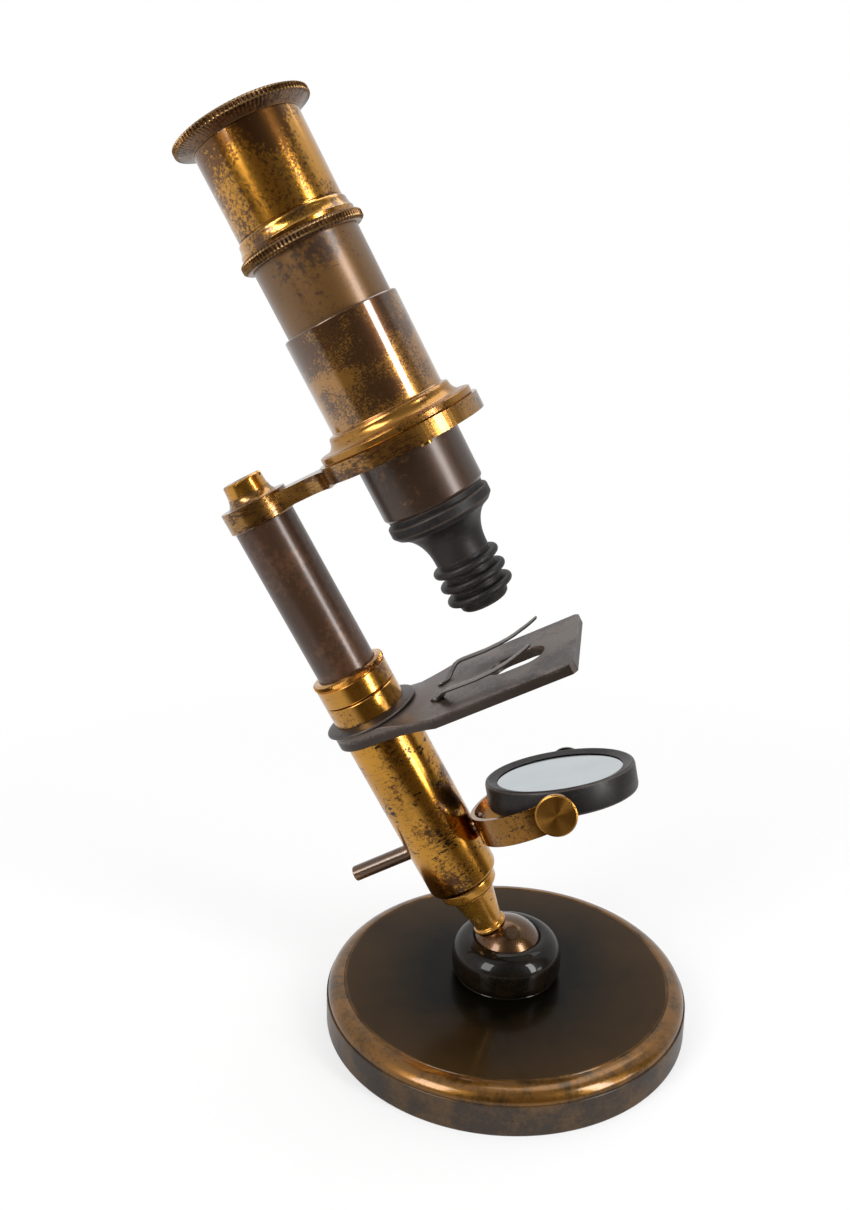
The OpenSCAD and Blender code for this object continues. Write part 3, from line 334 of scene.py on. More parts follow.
def rounded_copy(name, node, width):
    """A copy of a solid with its facets' shared corners merged, its flat facets joined and its sharp edges rounded to
    width millimetres."""
    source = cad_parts[node]
    work = bmesh.new()
    work.from_mesh(source.data)
    work.transform(source.matrix_world)
    bmesh.ops.remove_doubles(work, verts=work.verts, dist=SAME_PLACE)
    bmesh.ops.dissolve_limit(work, angle_limit=math.radians(0.3), verts=work.verts, edges=work.edges)
    bmesh.ops.recalc_face_normals(work, faces=work.faces)
    mesh = bpy.data.meshes.new(name)
    work.to_mesh(mesh)
    work.free()
    mesh.shade_smooth()
    mesh.set_sharp_from_angle(angle=SHARP)
    item = linked(name, mesh)
    bevel = item.modifiers.new("rounded_edges", "BEVEL")
    bevel.width = width * MM
    bevel.segments = 2
    bevel.limit_method = "ANGLE"
    bevel.angle_limit = SHARP
    bevel.harden_normals = True
    return item


def finish_with(item, finish):
    """Gives an object its finish."""
    item.data.materials.clear()
    item.data.materials.append(finish_of(finish))


def fit_piece(item, node, body, finish):
    """Gives a piece its finish, hangs it on the body that carries it and hides the solid it stands for."""
    finish_with(item, finish)
    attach(item, body)
    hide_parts(node)


def turned_piece(name, node, body, finish, slot, *shape, **more):
    """Turns a piece on the lathe and fits it. slot is not used; what follows it is lathe's own."""
    fit_piece(lathe(name, *shape, **more), node, body, finish)


def rounded_piece(name, node, body, finish, width):
    """Makes a rounded copy of a solid and fits it in its place."""
    fit_piece(rounded_copy(name, node, width), node, body, finish)


def dress(finish, *nodes):
    """Gives solids that are shown as they are their finish."""
    for node in nodes:
        finish_with(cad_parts[node], finish)


# ---------------------------------------------------------------- materials

def paint(colour_name):
    """A colour in linear light, from sRGB hex or from the name of a base colour."""
    return linear(colour_name) if colour_name.startswith("#") else tint(colour_name)


def add(tree, kind, inputs=None, stops=None, **properties):
    """Adds one node with its settings and links. An input is a value, a node, whose first live output is taken, or a
    node and the name of its output. stops are a colour ramp's places and colours."""
    made = tree.nodes.new("ShaderNode" + kind)
    for key, value in properties.items():
        setattr(made, key, value)
    if stops:
        line = made.color_ramp
        line.elements.remove(line.elements[-1])
        for number, (position, shade) in enumerate(stops):
            element = line.elements.new(position) if number else line.elements[0]
            element.position = position
            element.color = (*shade, 1.0)
    for key, value in (inputs or {}).items():
        socket = made.inputs[key]
        if isinstance(value, bpy.types.Node):
            tree.links.new(next(out for out in value.outputs if out.enabled), socket)
        elif isinstance(value, tuple) and isinstance(value[0], bpy.types.Node):
            tree.links.new(value[0].outputs[value[1]], socket)
        else:
            socket.default_value = (*value, 1.0) if socket.type == "RGBA" and len(value) == 3 else value
    return made


def blank(name):
    """A new material with its tree emptied."""
    material = bpy.data.materials.new(name)
    material.use_nodes = True
    material.node_tree.nodes.clear()
    return material, material.node_tree


def in_frame(tree, frame_name):
    """Object coordinates turned into a frame and counted in millimetres."""
    matrix = place(frame_name)
    back = matrix.to_3x3().transposed()
    source = add(tree, "TexCoord")
    return add(tree, "Mapping", {
        "Vector": (source, "Object"), "Scale": (1 / MM,) * 3,
        "Rotation": tuple(back.to_euler("XYZ")), "Location": tuple(-(back @ matrix.translation)),
    })


SEED_STEP = (17.3, 5.1, 9.7)  # millimetres by which a seed of 1 moves the pattern
NOISE_REACH = 0.42  # how far the mix's threshold moves from an amount of 0 to one of 1
BUMP_DEPTH = 0.0002  # metres


def lacquered_metal(name, frame_name, clean, dull, deep=None, amount=0.5, spread=0.08, grain=1.0, fleck=0.8,
                    stretch=(1.0, 1.0, 1.0), wear_and_painted_light_way=(0.0, 0.0, 0.0), start=0.0, rough=(0.2, 0.34), metallic=1.0,
                    specular=0.5, coat=0.8, thin_below=None, coat_roughness=0.1, coat_ior=1.5, specks=0.5,
                    scratch=0.5, worn=None, bump=0.05, seed=0.0, brushed=0.0):
    """Old lacquered brass: bare or clean where the lacquer has worn, duller where it has browned.

    Patches of about 1 / spread millimetres with a grainy border part the clean colour from the dull one; fleck is how
    far the grain breaks them up, and deep is the colour in their hearts. favour is a direction, per millimetre, in
    which the clean share grows, counted from the height start; where a finish's comment says so, this paints light and
    shade into the colour: clean gold as a painted reflection on one side and dull brown, down to deep, as painted shade
    on the other. Specks are black spots and cracks 0.3 to 2 mm wide in clusters, scratches thin dark lines across the
    piece. Both are drawn a little coarser than on the real piece, so that they show. worn is the colour of the edges
    and
    how much of it they take: rubbed bare edges on most finishes, and painted shade along the narrow sides of the clips'
    strips. thin_below is a height and the weight of the coat below it. brushed is the anisotropy of turning marks round
    the frame's +Y."""
    material, tree = blank(name)
    stain = tint("stain")
    base = in_frame(tree, frame_name)
    moved = add(tree, "VectorMath", {0: base, 1: tuple(seed * step for step in SEED_STEP)}, operation="ADD")
    drawn = add(tree, "Mapping", {"Vector": moved, "Scale": stretch})
    patches = add(tree, "TexNoise", {
        "Vector": drawn, "Scale": spread, "Detail": 4.0, "Roughness": 0.55, "Distortion": 0.3})
    grit = add(tree, "TexNoise", {"Vector": drawn, "Scale": 1.3 * grain, "Detail": 6.0, "Roughness": 0.75})
    joined = add(tree, "Math", {0: grit, 1: fleck, 2: patches}, operation="MULTIPLY_ADD")
    # painted light and shade: the clean share grows along this direction, so on the finishes whose comment says so one
    # side comes out clean gold as a painted reflection and the other dull brown as painted shade
    if any(wear_and_painted_light_way):
        side = add(tree, "VectorMath", {0: base, 1: wear_and_painted_light_way}, operation="DOT_PRODUCT")
        joined = add(tree, "Math", {0: joined, 1: side}, operation="ADD")
    centre = 0.5 + 0.5 * fleck + (0.5 - amount) * NOISE_REACH + wear_and_painted_light_way[2] * start
    mask = add(tree, "MapRange", {"Value": joined, "From Min": centre - 0.06, "From Max": centre + 0.05})
    shade = add(tree, "Mix", {0: mask, 6: paint(dull), 7: paint(clean)}, data_type="RGBA")
    if deep:
        heart = add(tree, "MapRange", {"Value": joined, "From Min": centre - 0.10, "From Max": centre - 0.24})
        shade = add(tree, "Mix", {0: heart, 6: shade, 7: paint(deep)}, data_type="RGBA")
    # slow drift of tone
    drift = add(tree, "TexNoise", {"Vector": moved, "Scale": 0.045, "Detail": 2.0})
    level = add(tree, "MapRange", {"Value": drift, "From Min": 0.3, "From Max": 0.7, "To Min": 0.74})
    shade = add(tree, "Mix", {0: 1.0, 6: shade, 7: level}, data_type="RGBA", blend_type="MULTIPLY")
    roughness = add(tree, "MapRange", {"Value": mask, "To Min": rough[1], "To Max": rough[0]})
    if specks:
        # cracks and spots lie in clusters
        cluster = add(tree, "TexNoise", {"Vector": moved, "Scale": 0.16, "Detail": 3.0})
        crowd = add(tree, "MapRange", {
            "Value": cluster, "From Min": 0.38, "From Max": 0.64, "To Max": 0.20 * specks})
        squat = add(tree, "Mapping", {"Vector": moved, "Scale": (0.8, 0.8, 1.5)})
        fine = add(tree, "TexNoise", {
            "Vector": squat, "Scale": 0.75, "Detail": 6.0, "Roughness": 0.72, "Distortion": 0.6})
        lifted = add(tree, "Math", {0: fine, 1: crowd}, operation="ADD")
        spots = add(tree, "MapRange", {"Value": lifted, "From Min": 0.70, "From Max": 0.725})
        shade = add(tree, "Mix", {0: spots, 6: shade, 7: stain}, data_type="RGBA")
        roughness = add(tree, "Math", {0: spots, 1: 0.2, 2: roughness}, operation="MULTIPLY_ADD")
    if scratch:
        # thin lines where slow waves across the piece pass their middle value
        long_way = add(tree, "Mapping", {
            "Vector": moved, "Scale": (0.13, 0.13, 1.1), "Rotation": (0.12, 0.2, 0.0)})
        wave = add(tree, "TexNoise", {"Vector": long_way, "Scale": 0.9, "Detail": 2.0, "Distortion": 0.4})
        off = add(tree, "Math", {0: wave, 1: 0.5, 2: 0.004 + 0.004 * scratch}, operation="COMPARE")
        gate = add(tree, "TexNoise", {"Vector": moved, "Scale": 0.11, "Detail": 2.0})
        here = add(tree, "MapRange", {"Value": gate, "From Min": 0.46, "From Max": 0.58, "To Max": 0.85})
        lines = add(tree, "Math", {0: off, 1: here}, operation="MULTIPLY")
        shade = add(tree, "Mix", {0: lines, 6: shade, 7: stain}, data_type="RGBA")
    # edge colour: rubbed bare edges on most finishes; on the clips' steel, painted shade along the strip's narrow sides
    if worn:
        edge = add(tree, "Attribute", attribute_name="wear", attribute_type="GEOMETRY")
        rubbed = add(tree, "Math", {0: (edge, "Fac"), 1: 0.75, 2: grit}, operation="MULTIPLY_ADD")
        bare = add(tree, "MapRange", {"Value": rubbed, "From Min": 0.80, "From Max": 1.25, "To Max": worn[1]})
        shade = add(tree, "Mix", {0: bare, 6: shade, 7: paint(worn[0])}, data_type="RGBA")
    bumped = add(tree, "Bump", {"Height": grit, "Strength": bump, "Distance": BUMP_DEPTH})
    if thin_below:
        apart = add(tree, "SeparateXYZ", {"Vector": base})
        low, thin = thin_below
        coat = add(tree, "MapRange", {
            "Value": (apart, "Z"), "From Min": low, "From Max": low + 2.0, "To Min": thin, "To Max": coat})
    shader = add(tree, "BsdfPrincipled", {
        "Base Color": shade, "Metallic": metallic, "Roughness": roughness, "Specular IOR Level": specular,
        "Normal": bumped, "Coat Weight": coat, "Coat Roughness": coat_roughness, "Coat IOR": coat_ior,
        "Anisotropic": brushed,
    })
    if brushed:
        centre_line = place(frame_name)
        source = add(tree, "TexCoord")
        away = add(tree, "VectorMath", {
            0: (source, "Object"), 1: tuple(centre_line.translation * MM)}, operation="SUBTRACT")
        axis = tuple(centre_line.to_3x3() @ Vector((0, 1, 0)))
        round_way = add(tree, "VectorMath", {0: axis, 1: away}, operation="CROSS_PRODUCT")
        tangent = add(tree, "VectorTransform", {"Vector": round_way}, vector_type="VECTOR",
                      convert_from="OBJECT", convert_to="WORLD")
        tree.links.new(tangent.outputs["Vector"], shader.inputs["Tangent"])
    add(tree, "OutputMaterial", {"Surface": shader})
    return material


PLAIN = dict(specks=0.0, scratch=0.0)

# Each row has the material's name, the frame of its pattern, the clean and the dull colour, and what differs from
# lacquered_metal's own values.
FINISHES = {
    # polished brass under old shellac lacquer: gold mirror streaks, brown patches, black specks
    # cleaner towards the left and the back: the gold there is a painted reflection, and the brown towards the front is
    # painted shade
    "brass_limb": ("lacquered_brass_limb", "limb", "gold", "#6E451C", dict(
        deep="#4A2C12", amount=0.87, specks=0.9, scratch=1.0, wear_and_painted_light_way=(-0.008, 0.010, 0.0), rough=(0.16, 0.27),
        coat=0.4)),
    "brass_collar": ("lacquered_brass_collar", "limb", "gold", "tarnish", dict(
        amount=0.84, specks=0.7, rough=(0.17, 0.28), seed=1.0)),
    # cleaner towards the left: the gold there is a painted reflection, and the brown further right is painted shade
    "brass_neck": ("lacquered_brass_neck", "limb", "gold", "tarnish", dict(
        amount=0.86, wear_and_painted_light_way=(-0.012, 0.0, 0.0), metallic=0.85, seed=2.0)),
    "brass_nut": ("lacquered_brass_nut", "limb", "gold", "tarnish", dict(amount=0.7, seed=2.5, rough=(0.22, 0.34))),
    "brass_drum": ("lacquered_brass_drum", "optic", "gold", "#744A1C", dict(
        amount=0.56, spread=0.07, grain=0.9, fleck=1.1, wear_and_painted_light_way=(0.002, 0.006, -0.010), start=216.0,
        rough=(0.2, 0.26), specks=0.3, scratch=0.4, seed=3.0)),
    "brass_band": ("polished_brass_band", "optic", "gold", "browned", dict(
        amount=0.62, specks=0.3, rough=(0.18, 0.3), seed=4.0)),
    # cast and turned brass whose lacquer has gone brown and grainy
    # cleaner towards the left, the back and the flange: the gold to the left and back is a painted reflection, and the
    # brown at the front is painted shade
    "brass_sleeve": ("mottled_brass_sleeve", "optic", "#B27E36", "#5E3C1E", dict(
        amount=0.66, spread=0.09, grain=1.3, fleck=1.1, stretch=(1.0, 1.0, 1.3), wear_and_painted_light_way=(-0.004, 0.008, -0.010),
        start=170.0, rough=(0.22, 0.28), metallic=0.85, specks=0.3, seed=5.0, coat=1.0, thin_below=(156.0, 0.15),
        coat_roughness=0.08, coat_ior=1.75)),
    "brass_arm": ("mottled_brass_arm", "limb", "#BE8A42", "#6A4624", dict(
        deep="#4E3620", amount=0.58, spread=0.12, fleck=1.3, stretch=(0.35, 1.0, 1.4), rough=(0.26, 0.38),
        specks=0.6, seed=7.0)),
    "brass_fork": ("lacquered_brass_fork", "fork", "#AC762A", "tarnish", dict(
        amount=0.76, fleck=1.0, specks=0.7, scratch=0.8, coat=0.4, seed=8.0)),
    # screw heads faced on the lathe, with fine rings that catch the light as a cross
    # the far head is painted dark, down to deep, as shadow; the near one stays clean
    "brass_pivot": ("turned_brass_pivot", "fork", "#BC863C", "tarnish", dict(
        deep="#2A1E12", amount=0.9, spread=0.03, grain=0.4, wear_and_painted_light_way=(0.0, -0.02, 0.0), rough=(0.26, 0.32),
        coat=0.2, seed=9.0, brushed=0.9, **PLAIN)),
    # knurled brass, browned, and bright on the ribs only
    "knurled_brass": ("knurled_brass_rings", "optic", "#86603A", "#4A3018", dict(
        rough=(0.34, 0.44), coat=0.3, seed=10.0, worn=("#9A7A4C", 0.8), **PLAIN)),
    "knurled_gold": ("knurled_brass_focus", "limb", "gold", "tarnish", dict(
        amount=0.74, specks=0.6, rough=(0.18, 0.3), seed=11.0)),
    # brass bronzed brown with acid and lacquered: satin, with a grey sheen at a low angle
    "bronzed_tube": ("bronzed_tube", "optic", "bronze_light", "bronze", dict(
        spread=0.035, rough=(0.36, 0.42), specks=0.1, metallic=0.6, specular=0.3, coat=0.9, coat_roughness=0.26,
        seed=12.0, grain=0.5, scratch=0.25, wear_and_painted_light_way=(0.0, 0.0, 0.007), start=166.0)),
    "bronzed_pillar": ("bronzed_pillar", "limb", "#583A26", "#422B1B", dict(
        spread=0.03, rough=(0.36, 0.42), specks=0.1, metallic=0.4, specular=0.3, coat=0.7, coat_roughness=0.2,
        seed=13.0, grain=0.5, scratch=0.2)),
    "bronzed_rod": ("bronzed_rod", "rod", "#8A6440", "#5A4028", dict(
        specks=0.3, metallic=0.6, coat=1.0, seed=14.0)),
    # brass blackened and lacquered: satin black with a faint grey sheen
    "black_brass": ("blackened_brass", "optic", "#262020", "black", dict(
        spread=0.1, rough=(0.46, 0.52), metallic=0.2, specular=0.35, coat=0.1, coat_roughness=0.36, seed=15.0,
        worn=("#54463C", 0.4), **PLAIN)),
    "black_cell": ("blackened_mirror_cell", "cell", "#262120", "black", dict(
        spread=0.1, rough=(0.42, 0.5), metallic=0.2, specular=0.35, coat=0.15, coat_roughness=0.3, seed=16.0,
        worn=("#5A524E", 0.5), **PLAIN)),
    # sheet brass, bronzed grey-brown: satin and cloudy, with its side painted darker than its top as shade
    "stage_plate": ("bronzed_stage_plate", "limb", "#6A5C54", "plate", dict(
        deep="#3A2E26", spread=0.06, wear_and_painted_light_way=(0.0, 0.0, 0.3), start=83.0, rough=(0.38, 0.46), specks=0.15,
        metallic=0.6, coat=0.3, coat_roughness=0.36, seed=17.0, scratch=0.35)),
    "dark_washer": ("bronzed_washer", "limb", "#403632", "#2A2422", dict(
        rough=(0.38, 0.44), metallic=0.5, coat=0.3, coat_roughness=0.34, seed=18.0, worn=("#6A5E54", 0.5), **PLAIN)),
    # the socket keeps its glossy black-brown lacquer: small sharp highlights on near black
    "socket_gloss": ("glossy_bronzed_socket", "foot", "#1A1209", "#0A0704", dict(
        rough=(0.34, 0.4), metallic=0.0, specular=0.1, coat=0.45, coat_roughness=0.05, seed=19.0, bump=0.02,
        **PLAIN)),
    # ball polished by use, copper-toned
    "ball": ("copper_toned_ball", "foot", "#6A4A28", "copper", dict(
        spread=0.05, rough=(0.26, 0.32), coat_roughness=0.14, seed=20.0, bump=0.02, **PLAIN)),
    # steel parts: blued, with the narrow sides of the clips painted dark as shade, or darkened all over
    "clip_steel": ("blued_spring_strip", "limb", "#7C746E", "#5C5652", dict(
        rough=(0.36, 0.44), metallic=0.7, coat=0.2, seed=21.0, worn=("#332D29", 0.85), **PLAIN)),
    "screw_steel": ("darkened_steel_screws", "limb", "steel", "#2C2824", dict(
        metallic=0.9, coat=0.2, seed=22.0, **PLAIN)),
    # lead as it left the mould: dull blue-grey
    "lead": ("cast_lead", "foot", "lead", "#44464A", dict(
        rough=(0.55, 0.65), metallic=0.6, coat=0.0, specks=0.2, scratch=0.0, seed=23.0)),
    # brass inside the stand, turned and left as it was
    "plain_brass": ("turned_brass_inside", "foot", "gold", "tarnish", dict(amount=0.6, specks=0.2, seed=24.0)),
}


def foot_lacquer():
    """Dark bronze lacquer on the foot, glossy and cloudy: olive-black in the middle, browner towards the rim, with the
    moulding rubbed to a copper brown and the side mottled grey. The limits between them are radii and heights in
    millimetres."""
    material, tree = blank("bronze_lacquered_foot")
    base = in_frame(tree, "foot")
    apart = add(tree, "SeparateXYZ", {"Vector": base})
    flat = add(tree, "CombineXYZ", {"X": (apart, "X"), "Y": (apart, "Y"), "Z": 0.0})
    radius = add(tree, "VectorMath", {0: flat}, operation="LENGTH")
    cloud = add(tree, "TexNoise", {
        "Vector": base, "Scale": 0.05, "Detail": 4.0, "Roughness": 0.6, "Distortion": 0.4})
    grit = add(tree, "TexNoise", {"Vector": base, "Scale": 1.1, "Detail": 6.0, "Roughness": 0.7})
    reach = add(tree, "Math", {0: cloud, 1: 26.0, 2: radius}, operation="MULTIPLY_ADD")
    far = add(tree, "MapRange", {"Value": reach, "From Min": 34.0, "From Max": 62.0})
    top = add(tree, "Mix", {0: far, 6: linear("#0A0803"), 7: linear("#392813")}, data_type="RGBA")
    # brown rubbed band on the moulding, between its inner edge and the side
    edge = add(tree, "Math", {0: cloud, 1: 2.0, 2: radius}, operation="MULTIPLY_ADD")
    on_rim = add(tree, "MapRange", {"Value": edge, "From Min": 47.7, "From Max": 48.7})
    patch = add(tree, "TexNoise", {"Vector": base, "Scale": 0.09, "Detail": 5.0, "Roughness": 0.65})
    rubbed = add(tree, "Math", {0: grit, 1: 0.35, 2: patch}, operation="MULTIPLY_ADD")
    bare = add(tree, "MapRange", {"Value": rubbed, "From Min": 0.54, "From Max": 0.72})
    ring = add(tree, "Mix", {0: bare, 6: linear("#4C3616"), 7: tint("foot_worn")}, data_type="RGBA")
    upper = add(tree, "Mix", {0: on_rim, 6: top, 7: ring}, data_type="RGBA")
    low = add(tree, "MapRange", {"Value": (apart, "Z"), "From Min": 9.0, "From Max": 8.2})
    grey = add(tree, "MapRange", {"Value": rubbed, "From Min": 0.62, "From Max": 0.8})
    side = add(tree, "Mix", {0: grey, 6: linear("#3A332E"), 7: linear("#544230")}, data_type="RGBA")
    whole = add(tree, "Mix", {0: low, 6: upper, 7: side}, data_type="RGBA")
    # small black pits all over
    cells = add(tree, "TexNoise", {
        "Vector": base, "Scale": 0.6, "Detail": 6.0, "Roughness": 0.7, "Distortion": 0.5})
    dots = add(tree, "MapRange", {"Value": cells, "From Min": 0.64, "From Max": 0.68, "To Max": 0.7})
    spotted = add(tree, "Mix", {0: dots, 6: whole, 7: linear("#120E0A")}, data_type="RGBA")
    roughness = add(tree, "MapRange", {"Value": grit, "To Min": 0.22, "To Max": 0.38})
    turned = add(tree, "Math", {0: on_rim, 1: low}, operation="SUBTRACT", use_clamp=True)
    metal = add(tree, "MapRange", {"Value": turned, "To Min": 0.1, "To Max": 0.85})
    bumped = add(tree, "Bump", {"Height": grit, "Strength": 0.08, "Distance": BUMP_DEPTH})
    gloss = add(tree, "MapRange", {"Value": turned, "To Min": 0.12, "To Max": 0.8})
    shader = add(tree, "BsdfPrincipled", {
        "Base Color": spotted, "Metallic": metal, "Roughness": roughness, "Specular IOR Level": 0.06,
        "Coat Weight": gloss, "Coat Roughness": 0.12, "Normal": bumped,
    })
    add(tree, "OutputMaterial", {"Surface": shader})
    return material


def silvered_glass():
    """Old silvered mirror glass: a slightly blue, slightly hazy reflection."""
    material, tree = blank("silvered_mirror_glass")
    base = in_frame(tree, "mirror")
    haze = add(tree, "TexNoise", {"Vector": base, "Scale": 0.08, "Detail": 3.0})
    tone = add(tree, "Mix", {0: haze, 6: linear("#C9D3D8"), 7: linear("#DDE3E4")}, data_type="RGBA")
    roughness = add(tree, "MapRange", {"Value": haze, "To Min": 0.04, "To Max": 0.12})
    shader = add(tree, "BsdfPrincipled", {"Base Color": tone, "Metallic": 1.0, "Roughness": roughness})
    add(tree, "OutputMaterial", {"Surface": shader})
    return material


def lens_glass():
    """Polished crown glass with faint dust."""
    material, tree = blank("polished_lens_glass")
    base = in_frame(tree, "optic")
    dust = add(tree, "TexNoise", {"Vector": base, "Scale": 1.5, "Detail": 3.0})
    roughness = add(tree, "MapRange", {"Value": dust, "To Min": 0.0, "To Max": 0.04})
    shader = add(tree, "BsdfPrincipled", {
        "Base Color": linear("#E6EEF0"), "Roughness": roughness, "IOR": 1.52, "Transmission Weight": 1.0,
    })
    add(tree, "OutputMaterial", {"Surface": shader})
    return material


OWN_TREES = {"foot": foot_lacquer, "mirror_glass": silvered_glass, "lens_glass": lens_glass}
_made = {}


def finish_of(name):
    """A finish by name, made once: from its own function, or from its row."""
    if name not in _made:
        if name in OWN_TREES:
            _made[name] = OWN_TREES[name]()
        else:
            *row, rest = FINISHES[name]
            _made[name] = lacquered_metal(*row, **rest)
    return _made[name]


# ---------------------------------------------------------------- heights along the limb, from the ball's centre

SLEEVE_LOW = 27.8
SLEEVE_HIGH = 80.3
STAGE_HIGH = 83.2
TAIL_HIGH = 84.5
COLLAR_LOW = 86.3
COLLAR_HIGH = COLLAR_LOW + 5.8
RING_LOW = 92.3
RING_HIGH = 99.6
BOSS_LOW = 145.2
ARM_LOW = 146.9
ARM_HIGH = 151.2
HOLDER_HIGH = 181.4
TUBE_LOW = 131.3
TUBE_HIGH = 205.3
GRIP_LOW = 198.6
GRIP_HIGH = 201.6
DRUM_LOW = 205.9
DRUM_HIGH = 226.8
CAP_RIM_LOW = 228.2
CAP_HIGH = 230.2

# bores, as radii, in which one piece holds another
LIMB_BORE = 8.4
COLLAR_BORE = 9.4
HOLDER_BORE = 13.82
TUBE_BORE = 12.6
DRUM_BORE = 12.0


# ---------------------------------------------------------------- pieces

class MICROSCOPE_OT_foot(bpy.types.Operator):
    """Round foot with its moulded edge and a turned line, hollow below"""

    bl_idname = "microscope.foot"
    bl_label = "Foot"

    def execute(self, context):
        r, h, side = size("foot_radius"), size("foot_height"), size("foot_side")
        hole, seat, seat_low = 12.92, 14.24, h - 3.6
        web, web_low, wall = 16.7, 6.9, 46.0  # the hollow below lies between the web round the hole and the wall
        outline = [
            [hole, 0.9], [web, 0.9], [web, web_low], [wall, web_low], [wall, 0.0], [r - 0.3, 0.0], [r, 0.5],
            [r, side - 0.25], [r - 0.15, side], [r - 0.4, side - 0.15], [r - 0.42, side + 0.05],
            *arc(r - 4.9, side, 4.48, h - side, 4, 90, 16),
            [47.6, h], [47.3, h - 0.35], [47.0, h], [15.0, h], [seat, h], [seat, seat_low], [hole, seat_low],
        ]
        turned_piece("foot_turning", "foot", "base", "foot", "foot_bronze", "foot", outline, 0.3, 256)
        dress("lead", "foot_weight")
        dress("screw_steel", "weight_screws")
        dress("plain_brass", "joint_plate")
        dress("screw_steel", "disc_spring")
        return {"FINISHED"}


class MICROSCOPE_OT_ball_joint(bpy.types.Operator):
    """Domed socket, the ball in it and the cup below"""

    bl_idname = "microscope.ball_joint"
    bl_label = "Ball joint"

    def execute(self, context):
        top, r, ball_r = size("foot_height"), size("socket_radius"), size("ball_radius")
        centre = settings().pose.ball_height / MM
        rise, dome = 6.1, 12.0  # heights above the foot at which the side and the dome end
        hole, plug, floor = 12.45, 14.2, 13.9
        seat, lip = ball_r + 0.05, 59.0  # the seat's radius, and the lip's angle from upright in degrees
        lip_r, lip_z = seat * math.sin(math.radians(lip)), centre + seat * math.cos(math.radians(lip))
        bowl = np.linspace(math.radians(90.0 - lip - 3.0), 0, 8)
        outline = [
            [hole, top - 3.6], [plug, top - 3.6], [plug, top], [r - 1.3, top], [r - 1.05, top + 0.25],
            [r - 1.2, top + 0.45], *arc(r - 2.2, top + 3.4, 2.2, 3.4, -58, 0, 10),
            *arc(lip_r + 1.2, top + rise, r - lip_r - 1.2, dome - rise, 0, 90, 20),
            [lip_r + 0.5, lip_z + 0.5], [lip_r, lip_z],
            *([seat * math.cos(t), centre + seat * math.sin(t)] for t in bowl), [seat, floor], [hole, floor],
        ]
        turned_piece("socket_dome", "socket", "base", "socket_gloss", "socket_bronze", "foot", outline, 0.22, 256)
        flat = math.asin(4.2 / ball_r)  # the flat under the neck, 4.2 mm in radius
        span = np.linspace(-math.pi / 2, math.pi / 2 - flat, 96)
        ball = [[ball_r * math.cos(t), ball_r * math.sin(t)] for t in span] + [[0.0, ball_r * math.cos(flat)]]
        ball[0][0] = 0.0
        turned_piece("ball_polished", "ball", "ball", "ball", "ball_brass", "limb", ball, 0.05, closed=False)
        dress("plain_brass", "ball_cup")
        return {"FINISHED"}


class MICROSCOPE_OT_sleeve(bpy.types.Operator):
    """Tapered neck with bead and ring, and the brass sleeve above it"""

    bl_idname = "microscope.sleeve"
    bl_label = "Neck and sleeve"

    def execute(self, context):
        neck_low = 10.54  # where the neck stands on the ball's flat
        outline = [
            [0.0, neck_low], [4.0, neck_low], [4.9, 10.95], [4.9, 11.65], [4.25, 12.1], [5.0, 16.0], [6.6, 23.3],
            [6.95, 23.5], [6.95, 24.15], [6.75, 24.3], [7.65, 24.3], *arc(7.65, 25.3, 1.0, 1.0, -70, 0, 5),
            [8.65, 27.4], [8.4, 27.75], [8.2, SLEEVE_LOW], [0.0, SLEEVE_LOW],
        ]
        turned_piece("neck_turning", "neck", "limb", "brass_neck", "lacquered_brass", "limb", outline, 0.18,
                     closed=False)
        r = size("sleeve_radius")
        outline = arc(r - 2.0, SLEEVE_LOW + 2.0, 2.0, 2.0, -90, 0, 10)
        outline += [[r, SLEEVE_HIGH], [LIMB_BORE, SLEEVE_HIGH], [LIMB_BORE, SLEEVE_LOW]]
        turned_piece("sleeve_barrel", "lower_sleeve", "limb", "brass_limb", "lacquered_brass", "limb", outline, 0.2,
                     224)
        dress("screw_steel", "key_screw")
        return {"FINISHED"}


class MICROSCOPE_OT_stage_plate(bpy.types.Operator):
    """Stage plate with its aperture and round tail, and the coned washer on it"""

    bl_idname = "microscope.stage_plate"
    bl_label = "Stage"

    def execute(self, context):
        rounded_piece("stage_plate_rounded", "stage", "limb", "stage_plate", 0.22)
        outline = [
            [COLLAR_BORE, TAIL_HIGH], [12.5, TAIL_HIGH], [13.35, TAIL_HIGH + 0.55], [13.3, TAIL_HIGH + 1.0],
            [10.8, COLLAR_LOW], [COLLAR_BORE, COLLAR_LOW],
        ]
        turned_piece("stage_washer_turned", "stage_washer", "limb", "dark_washer", "stage_bronze", "limb", outline,
                     0.3)
        return {"FINISHED"}


